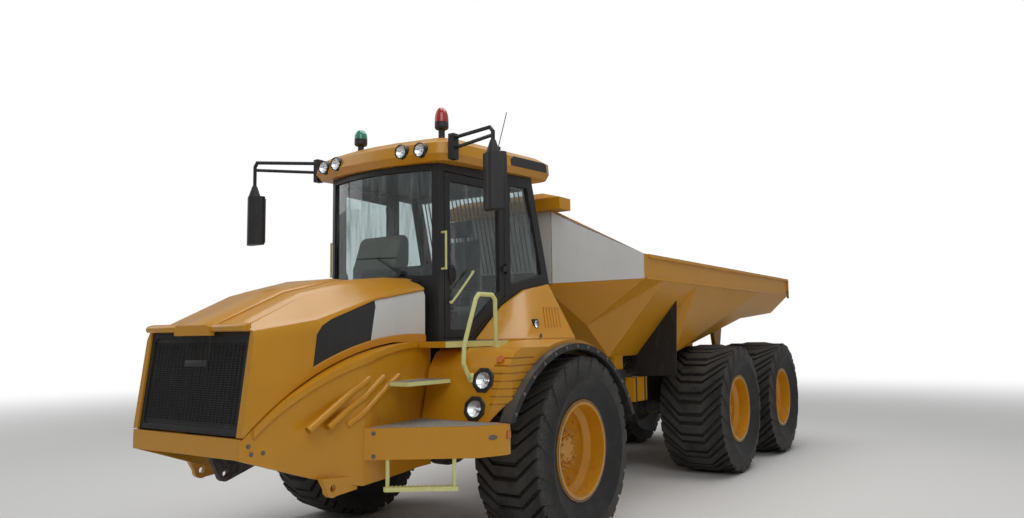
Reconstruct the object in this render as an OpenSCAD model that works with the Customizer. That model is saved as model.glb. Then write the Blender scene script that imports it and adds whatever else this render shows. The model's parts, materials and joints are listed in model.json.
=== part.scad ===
// Articulated dump truck, six wheels, at its real size in millimetres.
// The front faces -Y, the left side is +X, and the wheels stand on z = 0.
// Every length along the truck is measured from the front axle.

/* [Running gear] */
// Outer radius of every tyre, over its lugs
tyre_r = 790; // [770:5:800]
// Height of a tyre lug above the carcass
lug_h = 40; // [25:5:50]
// Lugs round one tyre
lug_count = 20; // [16:1:24]
// Width of a front tyre
front_tyre_w = 650; // [600:10:660]
// Width of a middle or rear tyre
rear_tyre_w = 850; // [800:10:860]
// Half of the width over the tyres
half_w = 1530; // [1520:5:1560]
// Radius of a rim's flange
rim_r = 412; // [400:1:420]
// Distance from the front axle to the middle axle
middle_y = 4030; // [4000:10:4100]
// Distance between the middle and rear axles
bogie_pitch = 1940; // [1900:10:1980]
// Radius of an axle housing
axle_r = 120; // [100:5:130]
// Radius of a wheel spindle
spindle_r = 70; // [60:5:80]

/* [Articulation] */
// Distance from the front axle to the hitch pin
hitch_y = 1500; // [1480:10:1520]
// Radius of the hitch pin
hitch_pin_r = 60; // [50:5:70]
// Radius of the steering cylinders' barrels
steer_barrel_r = 50; // [40:5:55]
// Radius of the steering cylinders' rods
steer_rod_r = 28; // [20:2:34]
// Height of the steering cylinders
steer_z = 1020; // [1000:5:1040]

/* [Front frame] */
// Thickness of a frame plate
frame_t = 40; // [30:5:50]
// Outer half width of the front frame
frame_w = 400; // [380:10:420]
// Front face of the bumper, ahead of the front axle
bumper_y = 2690; // [2650:10:2750]
// Half width of the bumper
bumper_w = 571; // [560:1:600]
// Height of the bumper's lower edge
bumper_z = 1006; // [980:2:1020]
// Height of the bumper's face
bumper_h = 127; // [100:1:140]
// Thickness of the shell panels
panel_t = 40; // [25:5:50]
// Half width of the shell at its widest
shell_w = 760; // [740:5:780]
// Height of the step deck
deck_z = 1120; // [1100:5:1150]
// Height of the step deck's edge
deck_h = 215; // [180:5:240]
// Bore radius of the front towing eye
tow_r = 25; // [20:1:30]
// Thickness of the front towing eye
tow_t = 40; // [30:5:50]

/* [Hood] */
// Half width of the hood at its front lip
hood_front_w = 585; // [575:1:595]
// Half width of the hood at the cab
hood_rear_w = 625; // [615:1:635]
// Height of the hood's crown at the cab
hood_top_z = 2210; // [2180:5:2230]
// Thickness of the hood's walls
hood_t = 30; // [20:5:40]

/* [Cab] */
// Half width of the cab at the windscreen pillars
cab_front_w = 620; // [600:5:640]
// Half width of the cab at its rear
cab_rear_w = 750; // [730:5:765]
// Height of the cab floor's underside
cab_floor_z = 1670; // [1660:5:1690]
// Height of the cab walls' top
cab_top_z = 3155; // [3120:5:3180]
// Thickness of the cab walls and doors
cab_t = 50; // [40:2:55]
// Thickness of the glass
glass_t = 8; // [6:1:12]
// Half width of the roof
roof_w = 790; // [775:5:800]
// Height of the roof's crown above the walls
roof_h = 235; // [220:5:280]

/* [Front fenders] */
// Outer radius of the rubber wheel arch
arch_r = 1160; // [1150:2:1170]
// Depth of the rubber wheel arch
arch_t = 50; // [40:5:55]
// Outer half width of the yellow fenders
fender_w = 1440; // [1400:10:1460]

/* [Dump body] */
// Front face of the dump body, behind the front axle
bed_front_y = 1050; // [1040:5:1080]
// Rear end of the dump body
bed_tail_y = 7100; // [7000:10:7150]
// Outer half width of the dump body
bed_w = 1300; // [1250:10:1320]
// Height of the side rail's upper edge
bed_rail_z = 2560; // [2520:5:2600]
// Height of the side rail
bed_rail_h = 260; // [220:5:280]
// Thickness of the body's plates
bed_t = 25; // [16:1:35]
// Height of the headboard's upper edge
bed_head_z = 3020; // [2980:5:3040]
// Thickness of the headboard's cover plates
head_plate_t = 8; // [5:1:12]

/* [Rear frame] */
// Height of the rear frame rails' underside
rail_z = 950; // [930:5:960]
// Height of the rear frame rails
rail_h = 300; // [280:5:300]
// Distance from the front axle to the tipping pivot
tip_y = 6350; // [6300:10:6400]
// Height of the tipping pivot
tip_z = 1450; // [1430:5:1480]
// Radius of the tipping cylinders' barrels
tip_barrel_r = 75; // [60:5:80]
// Radius of the tipping cylinders' rods
tip_rod_r = 45; // [35:5:50]

/* [Hidden] */
$fn = 48;

yellow = [0.85, 0.52, 0.05];
black = [0.07, 0.07, 0.08];
pale = [0.87, 0.90, 0.35];
grey = [0.66, 0.67, 0.68];
steel = [0.75, 0.76, 0.78];
clear = [0.45, 0.58, 0.66, 0.5];

run = 0.05;   // radial clearance of a pin in its bore
rest = 0.3;   // gap between pieces that rest on each other
gap = 8;      // gap round a lid or a door
over = 20;    // how far a cut reaches past what it cuts

wheel_z = tyre_r;
rear_y = middle_y + bogie_pitch;
mid_y = (bed_tail_y - bumper_y) / 2;
rail_top = rail_z + rail_h;

// Moves what is measured from the front axle to the middle of the whole length.
module truck() translate([0, -mid_y, 0]) children();

module both_sides() {
    children();
    mirror([1, 0, 0]) children();
}

// Extrudes an outline in the Y-Z plane along X, from x0 to x1.
module side_slab(x0, x1) translate([x0, 0, 0]) rotate([90, 0, 90]) linear_extrude(x1 - x0) children();

// Extrudes an outline in the X-Z plane along Y, from y0 to y1.
module front_slab(y0, y1) translate([0, y1, 0]) rotate([90, 0, 0]) linear_extrude(y1 - y0) children();

// Extrudes an outline in the X-Y plane from z0 to z1.
module plan_slab(z0, z1) translate([0, 0, z0]) linear_extrude(z1 - z0) children();

// A block between two corners.
module box(x, y, z) translate([x[0], y[0], z[0]]) cube([x[1] - x[0], y[1] - y[0], z[1] - z[0]]);

// A round bar from p to q.
module bar(p, q, r) {
    d = q - p;
    translate(p) rotate([0, acos(d[2] / norm(d)), atan2(d[1], d[0])]) cylinder(r = r, h = norm(d));
}

// A cylinder along X at [y, z], from x0 to x1.
module cross_bar(x0, x1, at, r) translate([x0, at[0], at[1]]) rotate([0, 90, 0])
    cylinder(r = r, h = x1 - x0);

// A solid through rings of n points each. The first ring runs counterclockwise as seen from outside.
module loft(rings) {
    n = len(rings[0]);
    last = len(rings) - 1;
    polyhedron(
        points = [for (ring = rings) each ring],
        faces = [
            [for (i = [n - 1 : -1 : 0]) i],
            for (k = [0 : last - 1], i = [0 : n - 1])
                each [[k * n + (i + 1) % n, (k + 1) * n + (i + 1) % n, k * n + i],
                    [(k + 1) * n + (i + 1) % n, (k + 1) * n + i, k * n + i]],
            [for (i = [0 : n - 1]) last * n + i]
        ]);
}

function unit(v) = v / norm(v);

// The rings of a mitred pipe: each is the ring before it, slid along the pipe to the plane of its bend.
function pipe_rings(points, ring, k) = k == len(points) ? [] : let (
    dir = unit(points[k] - points[k - 1]),
    next = k < len(points) - 1 ? unit(points[k + 1] - points[k]) : dir,
    cut = unit(dir + next),
    moved = [for (p = ring) p + dir * (((points[k] - p) * cut) / (dir * cut))])
    concat([moved], pipe_rings(points, moved, k + 1));

// A bent pipe with flat sides through the points
module pipe(points, r, sides = 8) {
    dir = unit(points[1] - points[0]);
    across = unit(cross(dir, abs(dir[2]) < 0.9 ? [0, 0, 1] : [1, 0, 0]));
    up = cross(across, dir);
    first = [for (i = [0 : sides - 1])
        points[0] + r * (across * cos(i * 360 / sides) + up * sin(i * 360 / sides))];
    loft(concat([first], pipe_rings(points, first, 1)));
}

// Points on an arc, for outlines and rings.
function arc(centre, r, from, to, steps) =
    [for (i = [0 : steps]) let (a = from + (to - from) * i / steps) centre + r * [cos(a), sin(a)]];

// The mirror image of a right-hand outline, so that both halves close into one ring.
function closed(half) = concat(half, [for (i = [len(half) - 1 : -1 : 0]) [-half[i][0], half[i][1]]]);

// Wheels

rim_inset = 70;                       // from the tyre's side to the rim's flange
flange_t = 12;
rim_wall = 18;
rim_seat_r = rim_r - 25;
well_r = rim_seat_r - 45;             // the rim's drop centre
hub_r = 170;
hub_face = half_w - 240;
hub_cap_r = 105;
hub_cap = 22;                         // how far the hub's cover stands out
disc_t = 24;
drum_r = 215;
drum_inset = 60;                      // from the rim's inner flange to its drum

function drum_x(width) = half_w - width + rim_inset + drum_inset;

// One ring of tyre points. Steps are fractions of a lug's pitch, each with its radius.
function tyre_ring(x, steps, radii, skew) = [for (k = [0 : lug_count - 1], i = [0 : len(steps) - 1])
    let (a = (k + steps[i]) * 360 / lug_count + skew) [x, -radii[i] * cos(a), radii[i] * sin(a)]];

// Joins two rings of n points that start at index a and index b.
function even_strip(a, b, n) = [for (i = [0 : n - 1]) each
    [[a + i, a + (i + 1) % n, b + (i + 1) % n], [a + i, b + (i + 1) % n, b + i]]];

// Joins a ring of 2n points at a to a ring of n points at b.
function half_strip(a, b, n) = [for (i = [0 : n - 1]) each
    [[a + 2 * i, a + 2 * i + 1, b + i],
    [a + 2 * i + 1, a + (2 * i + 2) % (2 * n), b + (i + 1) % n],
    [a + 2 * i + 1, b + (i + 1) % n, b + i]]];

function flipped(faces) = [for (f = faces) [f[2], f[1], f[0]]];

// A tyre centred on the origin, its axle along X, with swept bars across the tread.
module tyre(width, skew) {
    n = lug_count;
    half = width / 2;
    tread = half - 45;
    bar_half = width * 0.16;
    bead = half - rim_inset - flange_t - rest;
    bead_r = (rim_seat_r + rest) / cos(180 / n);
    flange_r = (rim_r + 4) / cos(180 / n);
    bulge_r = tyre_r - 205;
    foot = [0, 0.07, 0.45, 0.52];     // where a lug starts, is full, is still full, ends
    top = [tyre_r - lug_h, tyre_r, tyre_r, tyre_r - lug_h];
    edge = [for (r = top) r - 18];
    rings = [
        tyre_ring(-bead, [0.25], [bead_r], 0),
        tyre_ring(-bead, [0.25], [flange_r], 0),
        tyre_ring(-half, [0.02, 0.5], [bulge_r, bulge_r], 0),
        tyre_ring(-tread, foot, edge, skew),
        tyre_ring(-bar_half, foot, top, 0),
        tyre_ring(bar_half, foot, top, 0),
        tyre_ring(tread, foot, edge, skew),
        tyre_ring(half, [0.02, 0.5], [bulge_r, bulge_r], 0),
        tyre_ring(bead, [0.25], [flange_r], 0),
        tyre_ring(bead, [0.25], [bead_r], 0)];
    at = [0, n, 2 * n, 4 * n, 8 * n, 12 * n, 16 * n, 20 * n, 22 * n, 23 * n];
    // turned until the edge of one lug stands exactly on the ground
    rotate([90 + 0.07 * 360 / n, 0, 0]) polyhedron(
        points = [for (ring = rings) each ring],
        faces = concat(
            even_strip(at[0], at[1], n),
            flipped(half_strip(at[2], at[1], n)),
            flipped(half_strip(at[3], at[2], 2 * n)),
            even_strip(at[3], at[4], 4 * n),
            even_strip(at[4], at[5], 4 * n),
            even_strip(at[5], at[6], 4 * n),
            half_strip(at[6], at[7], 2 * n),
            half_strip(at[7], at[8], n),
            even_strip(at[8], at[9], n),
            even_strip(at[9], at[0], n)));
}

// A left rim with its hub and drum. X is measured from the middle of the truck.
module rim(width) {
    outer = half_w - rim_inset;
    inner = half_w - width + rim_inset;
    well_in = outer - 330;
    well_out = outer - 130;
    slope = 45;
    difference() {
        union() {
            rotate([0, 90, 0]) rotate_extrude() polygon([
                [rim_seat_r - rim_wall, inner], [rim_r, inner], [rim_r, inner + flange_t],
                [rim_seat_r, inner + flange_t], [rim_seat_r, well_in], [well_r, well_in + slope],
                [well_r, well_out - slope], [rim_seat_r, well_out], [rim_seat_r, outer - flange_t],
                [rim_r, outer - flange_t], [rim_r, outer], [rim_seat_r - rim_wall, outer],
                [rim_seat_r - rim_wall, well_out], [well_r - rim_wall, well_out - slope],
                [well_r - rim_wall, well_in + slope], [rim_seat_r - rim_wall, well_in]]);
            cross_bar(hub_face - 60, hub_face - 60 + disc_t, [0, 0], well_r - rim_wall / 2);
            cross_bar(hub_face - 61, hub_face, [0, 0], hub_r);
            cross_bar(hub_face - 1, hub_face + hub_cap, [0, 0], hub_cap_r);
            cross_bar(drum_x(width), hub_face - 59, [0, 0], drum_r);
        }
        cross_bar(drum_x(width) - over, hub_face - 70, [0, 0], spindle_r + run);
    }
}

// Puts a left wheel's piece at its axle, or mirrors it to the right side.
module wheel_at(side, y) truck() mirror([side < 0 ? 1 : 0, 0, 0]) translate([0, y, wheel_z]) children();

module front_tyre(side) color(black) wheel_at(side, 0)
    translate([half_w - front_tyre_w / 2, 0, 0]) tyre(front_tyre_w, 12);

module rear_tyre(side, y) color(black) wheel_at(side, y)
    translate([half_w - rear_tyre_w / 2, 0, 0]) tyre(rear_tyre_w, 18);

module front_rim(side) color(yellow) wheel_at(side, 0) rim(front_tyre_w);

module rear_rim(side, y) color(yellow) wheel_at(side, y) rim(rear_tyre_w);

// An axle housing with its spindles and its differential, turned about the axle
diff_r = 230;

module axle(width) {
    housing = drum_x(width) - gap;
    tip = hub_face - 70 - gap;
    half = [[0, tip], [spindle_r, tip], [spindle_r, housing], [axle_r, housing], [axle_r, 240], [200, 150],
        [diff_r, 60]];
    rotate([0, 90, 0]) rotate_extrude()
        polygon(concat(half, [for (i = [len(half) - 1 : -1 : 0]) [half[i][0], -half[i][1]]]));
}

// Front frame

axle_gap = 30;                        // from an axle housing to the frame above it
frame_low = wheel_z + axle_r + axle_gap;
yoke_t = 50;                          // thickness of a hitch plate
yoke_z = [730, 1140];                 // undersides of the two hitch plates
yoke_r = 130;
neck_w = 200;                         // half width of the frame at the hitch
steer_eye_r = 55;
steer_pin_r = 30;
steer_eye_h = 80;
steer_front = [500, 350];
rail_x_out = half_w - rear_tyre_w - 200;   // the rear frame rails' outer and inner sides
rail_x_in = rail_x_out - 100;
steer_rear = [rail_x_out - 50, hitch_y + 280];
ear_t = 20;
ear_gap = 15;                         // from a cylinder's eye to the ears round it
cab_base_z = 1330;

module frame_outline() polygon([[-2480, frame_low + 10], [-2480, 1090], [-700, 1120], [-480, 1250],
    [600, 1250], [900, 1290], [hitch_y - 230, 1290], [hitch_y - 230, 700], [800, 700], [620, 760],
    [440, frame_low], [-440, frame_low], [-700, 860], [-1750, 800]]);

// One side plate of the frame, straight along the engine and narrow at the hitch
module frame_plan() polygon([[frame_w - frame_t, -2480], [frame_w, -2480], [frame_w, 480], [neck_w, 880],
    [neck_w, hitch_y - 230], [neck_w - frame_t, hitch_y - 230], [neck_w - frame_t, 865],
    [frame_w - frame_t, 465]]);

module hitch_plate(z) difference() {
    union() {
        box([-neck_w, neck_w], [hitch_y - 270, hitch_y - 60], [z, z + yoke_t]);
        translate([0, hitch_y, z]) cylinder(r = yoke_r, h = yoke_t);
        box([-yoke_r, yoke_r], [hitch_y - 61, hitch_y], [z, z + yoke_t]);
    }
    translate([0, hitch_y, z - 1]) cylinder(r = hitch_pin_r + run, h = yoke_t + 2);
}

// The pin and ears that carry one steering barrel
module steer_anchor() {
    for (z = [steer_z - steer_eye_h / 2 - ear_gap - ear_t, steer_z + steer_eye_h / 2 + ear_gap])
        box([frame_w - 1, steer_front[0] + 50], [steer_front[1] - 55, steer_front[1] + 55], [z, z + ear_t]);
    translate([steer_front[0], steer_front[1], steer_z - steer_eye_h / 2 - ear_gap - 1])
        cylinder(r = steer_pin_r, h = steer_eye_h + 2 * ear_gap + 2);
}

tow_at = [-2373, 839];                // the towing eye's centre, [y, z]

module front_chassis() color(black) truck() {
    both_sides() {
        intersection() {
            plan_slab(600, 1400) frame_plan();
            side_slab(0, frame_w + over) frame_outline();
        }
        steer_anchor();
    }
    for (y = [-2480, -700, 250]) box([-frame_w + 1, frame_w - 1], [y, y + 60], [1000, 1090]);
    for (y = [-2100, -1300]) box([-frame_w + 1, frame_w - 1], [y, y + 60], [950, engine_z - rest]);
    box([-neck_w + 1, neck_w - 1], [hitch_y - 271, hitch_y - 230], [700, 1290]);
    for (z = yoke_z) hitch_plate(z);
    difference() {
        side_slab(-tow_t / 2, tow_t / 2) union() {
            polygon([[-2479, 1005], [-2479, 935], tow_at + [-52, -18], tow_at + [18, -52],
                [-2120, 860], [-2080, 1005]]);
            translate(tow_at) circle(r = 55);
        }
        cross_bar(-tow_t, tow_t, tow_at, tow_r);
    }
    box([-frame_w + 1, frame_w - 1], [-2479, -2080], [1000, 1020]);
}

shell_low = 735;                      // lowest edge of the shell, below the cab
hood_arch = [[-1137, -616], 2320];    // the seam between hood and shell: centre [y, z] and radius

// The shell under the hood, seen from the side
module shell_outline() difference() {
    polygon([[-bumper_y, bumper_z], [-bumper_y, 1700], [-1000, 1700], [-1000, 760], [-1830, shell_low],
        [-2163, 823]]);
    difference() {
        translate([-bumper_y - 100, 900]) square([2000, 900]);
        translate(hood_arch[0]) circle(r = hood_arch[1], $fn = 200);
    }
}

// The left half of the shell's outer face, seen from above
function shell_face(out) = [[bumper_w + out, -bumper_y], [600 + out, -2450], [700 + out, -2000],
    [shell_w + out, -1820], [720 + out, -1450], [670 + out, -1150], [670 + out, -1000]];

module shell_plan(out, t) polygon(concat(shell_face(out),
    [for (i = [6 : -1 : 0]) shell_face(out - t)[i]]));

// The three slanted ribs below the hood, [front y, rear y]
louvre_ys = [[-2277, -1760], [-2107, -1600], [-1937, -1440]];

module bumper_shell() color(yellow) truck() {
    both_sides() {
        difference() {
            intersection() {
                plan_slab(600, 1750) shell_plan(0, panel_t);
                side_slab(400, shell_w + over) shell_outline();
            }
            box([500, 550], [-2700, -2560], [bumper_z + bumper_h, 1400]);
        }
        intersection() {
            plan_slab(600, 1750) shell_plan(14, 14 + panel_t / 2);
            side_slab(400, shell_w + over) intersection() {
                shell_outline();
                difference() {
                    translate([-2600, 1100]) square([1600, 700]);
                    translate(hood_arch[0]) circle(r = hood_arch[1] - 45, $fn = 200);
                }
            }
        }
        for (y = louvre_ys) bar([720, y[0], 1150], [735, y[1], 1460], 24);
        difference() {
            side_slab(shell_w - 70, shell_w - 30) union() {
                polygon([[-2170, 830], [-2110, 730], [-2060, 700], [-1850, 715], [-1830, 800]]);
                translate([-2066, 755]) circle(r = 60);
            }
            cross_bar(shell_w - 100, shell_w, [-2066, 755], tow_r);
        }
    }
    box([-bumper_w, bumper_w], [-bumper_y, -bumper_y + panel_t], [bumper_z, bumper_z + bumper_h]);
    box([-bumper_w, bumper_w], [-bumper_y + 1, -2480], [bumper_z + 1, bumper_z + 13]);
}

engine_z = 1020;

module engine_block() color(black) truck() {
    box([-300, 300], [-2250, -1100], [engine_z, 1750]);
}

module front_axle() color(black) truck() {
    translate([0, 0, wheel_z]) axle(front_tyre_w);
    both_sides() difference() {
        box([frame_w - 60, frame_w + 20], [-90, 90], [wheel_z + 60, frame_low - rest]);
        cross_bar(frame_w - 100, frame_w + 60, [0, wheel_z], axle_r - 1);
    }
}

// Cab

a_pillar_y = -830;
b_pillar_y = 30;
cab_back_low = [675, 2215];           // lower rear corner of the cab, [y, z]
roof_slope = 0.045;

// Height of the cab walls' top at y
function top_z(y) = cab_top_z + (y + 1050) * roof_slope;

cab_back_top = [410, top_z(410)];
cab_keel_y = -400;                    // where the cab's lower edge starts to rise
screen_bulge = 130;                   // how far the windscreen stands ahead of its pillars

// The left half width of the cab's outer face at y
function cab_w(y) = cab_front_w + (cab_rear_w - cab_front_w)
    * (y - a_pillar_y) / (cab_back_low[0] - a_pillar_y);

// The windscreen's circle: its centre and radius come from its width and bulge
function screen_r(w) = (w * w + screen_bulge * screen_bulge) / (2 * screen_bulge);

module cab_plan(inset) {
    w = cab_front_w - inset;
    y = a_pillar_y + inset;
    r = screen_r(cab_front_w);
    rear = cab_back_low[0] - inset;
    polygon([[w, y], [cab_w(rear) - inset, rear], [inset - cab_w(rear), rear], [-w, y]]);
    intersection() {
        translate([0, a_pillar_y - screen_bulge + r]) circle(r = r - inset, $fn = 180);
        translate([-w, y - 300]) square([2 * w, 301]);
    }
}

// The cab seen from the side
module cab_side(inset) polygon([[-1200, cab_floor_z + inset], [-1200, top_z(-1200) - inset],
    [cab_back_top[0] - inset, top_z(cab_back_top[0] - inset) - inset],
        [cab_back_low[0] - inset, cab_back_low[1] + inset * 0.4],
    [cab_keel_y + inset * 0.3, cab_floor_z + inset]]);

module cab_solid(inset) intersection() {
    plan_slab(cab_floor_z, cab_top_z + 200) cab_plan(inset);
    side_slab(-1000, 1000) cab_side(inset);
}

door_z = [cab_floor_z + cab_t, cab_top_z - 45];   // lower and upper edge of the doors
door_y = [a_pillar_y + 60, b_pillar_y - 20];
door_bend = [-440, 2080];             // y where the lower edge rises, and its height at the hinge

// A door's outline, smaller by inset all round
module door_outline(inset) polygon([[door_y[0] + inset, door_z[0] + inset],
    [door_bend[0] - inset * 0.5, door_z[0] + inset], [door_y[1] - inset, door_bend[1] + inset * 0.6],
    [door_y[1] - inset, door_z[1] - inset], [door_y[0] + inset, door_z[1] - inset]]);

// The window behind the door
module quarter_outline() polygon([[b_pillar_y + 60, 2200], [b_pillar_y + 60, door_z[1]],
    [cab_back_top[0] - 60, door_z[1]], [cab_back_low[0] - 115, cab_back_low[1] + 90]]);

screen_z = [2235, door_z[1]];

module screen_cut() front_slab(-1200, a_pillar_y + cab_t - 5)
    translate([-cab_front_w + 55, screen_z[0]]) square([2 * cab_front_w - 110, screen_z[1] - screen_z[0]]);

module rear_cut() front_slab(cab_back_top[0] - 150, cab_back_low[0] + 100)
    translate([-cab_rear_w + 110, cab_back_low[1] + 120])
        square([2 * cab_rear_w - 220, door_z[1] - cab_back_low[1] - 120]);

module cab_frame() color(black) truck() {
    difference() {
        cab_solid(0);
        cab_solid(cab_t);
        screen_cut();
        rear_cut();
        both_sides() {
            side_slab(300, 1000) door_outline(0);
            side_slab(300, 1000) quarter_outline();
        }
    }
    box([-540, 540], [-780, -100], [cab_base_z, cab_floor_z + 1]);
    both_sides() {
        for (z = hinge_zs) cab_hinge(z);
        box([362, 398], [-300, -100], [1250 + rest, cab_base_z + 1]);
        // a hinge lug for the hood, with its pin
        side_slab(hood_lug_x + 24, hood_lug_x + 50) {
            translate(hood_hinge) circle(r = hood_pin_r + 0.5);
            translate([hood_hinge[0], hood_hinge[1] - 22]) square([120, 30]);
        }
        cross_bar(hood_lug_x - 4, hood_lug_x + 25, hood_hinge, hood_pin_r);
    }
}

// A skin of glass inside the cab's outer face
module glass_skin(depth) difference() {
    cab_solid(depth);
    cab_solid(depth + glass_t);
}

module cab_glass() color(clear) truck() {
    intersection() {
        glass_skin(20);
        union() {
            screen_cut();
            rear_cut();
            both_sides() side_slab(300, 1000) quarter_outline();
        }
    }
}

hinge_at = [cab_w(b_pillar_y) + 12, b_pillar_y - 10];
hinge_zs = [door_bend[1] + 250, cab_top_z - 160];   // heights of a door's two hinges
hinge_r = 12;
hinge_pin_r = 6;

// The door's half of a hinge: a knuckle and its strap
module door_knuckle(z) difference() {
    union() {
        translate([hinge_at[0], hinge_at[1], z - 30]) cylinder(r = hinge_r, h = 60);
        box([hinge_at[0] - 4, hinge_at[0] + 8], [hinge_at[1] - 60, hinge_at[1]], [z - 24, z + 24]);
        box([hinge_at[0] - 22, hinge_at[0] - 3], [hinge_at[1] - 60, hinge_at[1] - 25], [z - 24, z + 24]);
    }
    translate([hinge_at[0], hinge_at[1], z - 40]) cylinder(r = hinge_pin_r + run, h = 80);
}

// The cab's half: two lugs and the pin between them
module cab_hinge(z) {
    for (s = [-1, 1]) box([hinge_at[0] - 26, hinge_at[0] + 9], [hinge_at[1] - 8, hinge_at[1] + 9],
        [z + s * 39 - 7, z + s * 39 + 7]);
    translate([hinge_at[0], hinge_at[1], z - 40]) cylinder(r = hinge_pin_r, h = 80);
}

// The left door: a frame on the cab's side with two knuckles at its rear edge
module door_frame() {
    for (z = hinge_zs) door_knuckle(z);
    intersection() {
        difference() {
            cab_solid(0);
            cab_solid(cab_t);
        }
        difference() {
            side_slab(300, 1000) door_outline(gap);
            side_slab(300, 1000) door_outline(gap + 65);
        }
    }
}

module door_glass() intersection() {
    glass_skin(20);
    side_slab(300, 1000) door_outline(gap + 65);
}

module left_door() color(black) truck() door_frame();

module left_door_glass() color(clear) truck() door_glass();

module right_door() color(black) truck() mirror([1, 0, 0]) door_frame();

module right_door_glass() color(clear) truck() mirror([1, 0, 0]) door_glass();

// Roof sections from below: [height, half width, front y, rear y, corner radius]
roof_rows = [
    [0, 760, -930, 740, 150],
    [55, 790, -980, 775, 180],
    [150, 780, -950, 770, 170],
    [210, 690, -850, 700, 160],
    [235, 520, -600, 560, 150]];
roof_bow = 70;                        // how far the roof's front edge bows forwards

// A rounded rectangle, its front edge bowed forwards
function roof_ring(row) = let (w = row[1] * roof_w / 790, r = row[4], z = cab_top_z + row[0] * roof_h / 235)
    [for (p = concat(
        arc([w - r, row[3] - r], r, 0, 90, 4), arc([r - w, row[3] - r], r, 90, 180, 4),
        arc([r - w, row[2] + r], r, 180, 270, 4),
            [[-w * 0.35, row[2] - roof_bow * 0.8], [0, row[2] - roof_bow],
        [w * 0.35, row[2] - roof_bow * 0.8]], arc([w - r, row[2] + r], r, 270, 360, 4)))
        [p[0], p[1], z + (p[1] + 1050) * roof_slope + rest]];

module roof_solid() loft([for (i = [len(roof_rows) - 1 : -1 : 0]) roof_ring(roof_rows[i])]);

// What stands on the roof: [x, y, height of its foot, foot radius]
roof_feet = [[500, -640, cab_top_z + 245, 28], [-500, -600, cab_top_z + 245, 28],
    [600, 60, cab_top_z + 270, 22]];
mirror_foot = [[-885, -815], [cab_top_z + 10, cab_top_z + 220]];   // the mirror brackets' [y, y] and [z, z]

module cab_roof() color(yellow) truck() difference() {
    roof_solid();
    for (f = roof_feet) translate([f[0], f[1], f[2] - rest]) cylinder(r = f[3] + rest, h = 200);
    both_sides() {
        for (l = roof_lamps) translate([0, rest, 0]) lamp_at(l) cylinder(r = l[3] + rest, h = 150);
        box([roof_w - 25 - rest, roof_w + over], [mirror_foot[0][0] - rest, mirror_foot[0][1] + rest],
            [mirror_foot[1][0] - rest, mirror_foot[1][1] + rest]);
    }
}

module driver_seat() color(black) truck() {
    box([-250, 250], [-250, 200], [2050, 2170]);
    box([-240, 240], [190, 310], [2140, 2860]);
    intersection() {
        box([-150, 150], [-300, 40], [cab_floor_z, 2051]);
        cab_solid(cab_t + rest);
    }
}

column_foot = [0, -620, cab_floor_z];
column_top = [0, -440, 2330];
steer_wheel_r = 200;

module steering_column() color(black) truck() {
    intersection() {
        union() {
            bar(column_foot, column_top, 45);
            box([-330, 330], [-740, -600], [cab_floor_z, 2180]);
        }
        cab_solid(cab_t + rest);
    }
    translate(column_top) rotate([14, 0, 0]) {
        rotate_extrude() translate([steer_wheel_r, 0]) circle(r = 17);
        for (a = [90, 210, 330]) rotate([0, 0, a]) rotate([0, 90, 0]) cylinder(r = 12, h = steer_wheel_r);
        translate([0, 0, -30]) cylinder(r = 50, h = 50);
    }
}

// Lamps

// Forward-facing lamps: [x, y of the face behind it, z, radius, upward tilt]
pod_tilt = atan2(90, 380);
head_lamps = [[1180, -1108.7, 1210, 72, pod_tilt], [1225, -1060.1, 1415, 72, pod_tilt]];
roof_lamps = [[380, -960, cab_top_z + 100, 60, 0], [560, -935, cab_top_z + 95, 60, 0]];
side_lamp = [850, 94, 1840, 42];
lamp_deep = 55;

// Puts a lamp that points along +Z onto its face.
module lamp_at(l) translate([l[0], l[1], l[2]]) rotate([-l[4], 0, 0]) rotate([90, 0, 0]) children();

module lamps() color(steel) truck() both_sides() {
    for (l = head_lamps) lamp_at(l) translate([0, 0, -lamp_deep]) cylinder(r = l[3], h = lamp_deep + 16);
    for (l = roof_lamps) lamp_at(l) cylinder(r = l[3], h = 75);
    translate([side_lamp[0], side_lamp[1], side_lamp[2]]) rotate([0, 90, 0])
        cylinder(r = side_lamp[3], h = 130);
}

module lamp_bezels() color(black) truck() both_sides() for (l = head_lamps) lamp_at(l) difference() {
    translate([0, 0, rest]) rotate([0, 0, 22.5]) cylinder(r = 98, h = 12, $fn = 8);
    cylinder(r = l[3] + rest, h = 20);
}

amber_lamp = [1340, -996.4, 1560, 34, atan2(80, 110)];

module indicators() color("orange") truck() both_sides() {
    lamp_at(amber_lamp) translate([0, 0, rest]) cylinder(r = amber_lamp[3], h = 16, $fn = 6);
    box([1480 + rest, 1492], [-1140, -1100], [1020, 1070]);
}

// Fenders

arch_at = [-130, 510];                // centre of the wheel arch, [y, z]
arch_wall = 32;
fender_in = 690;
pod_top = 1650;
sill_y = [-1160, -330];               // the sill step's front and rear end
sill_z = [1655, 1700];
sill_x = 950;

module arch_circle(r) translate(arch_at) circle(r = r, $fn = 120);

module fender_outline() difference() {
    union() {
        intersection() {
            arch_circle(arch_r + arch_wall);
            translate([-1400, 1002]) square([2400, 1000]);
        }
        polygon([[-1130, deck_z + rest], [-1040, 1500], [-960, 1610], [-880, pod_top], [arch_at[0], pod_top],
            [arch_at[0], deck_z + rest]]);
    }
    arch_circle(arch_r);
    polygon([[-1130, deck_z + rest], [-1040, 1500], [-1300, 1500], [-1300, deck_z]]);
}

// The grooves round the pod's outer front corner
groove_zs = [1240 : 55 : 1570];
groove_deep = 8;

module fender_form(inset) intersection() {
    side_slab(fender_in, fender_w - inset) translate([inset, 0]) fender_outline();
    plan_slab(900, 1800) polygon([[fender_in, inset - 1140], [1290, inset - 1140],
        [fender_w - inset, inset * 0.4 - 1000], [fender_w - inset, 1100], [fender_in, 1100]]);
}

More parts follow.
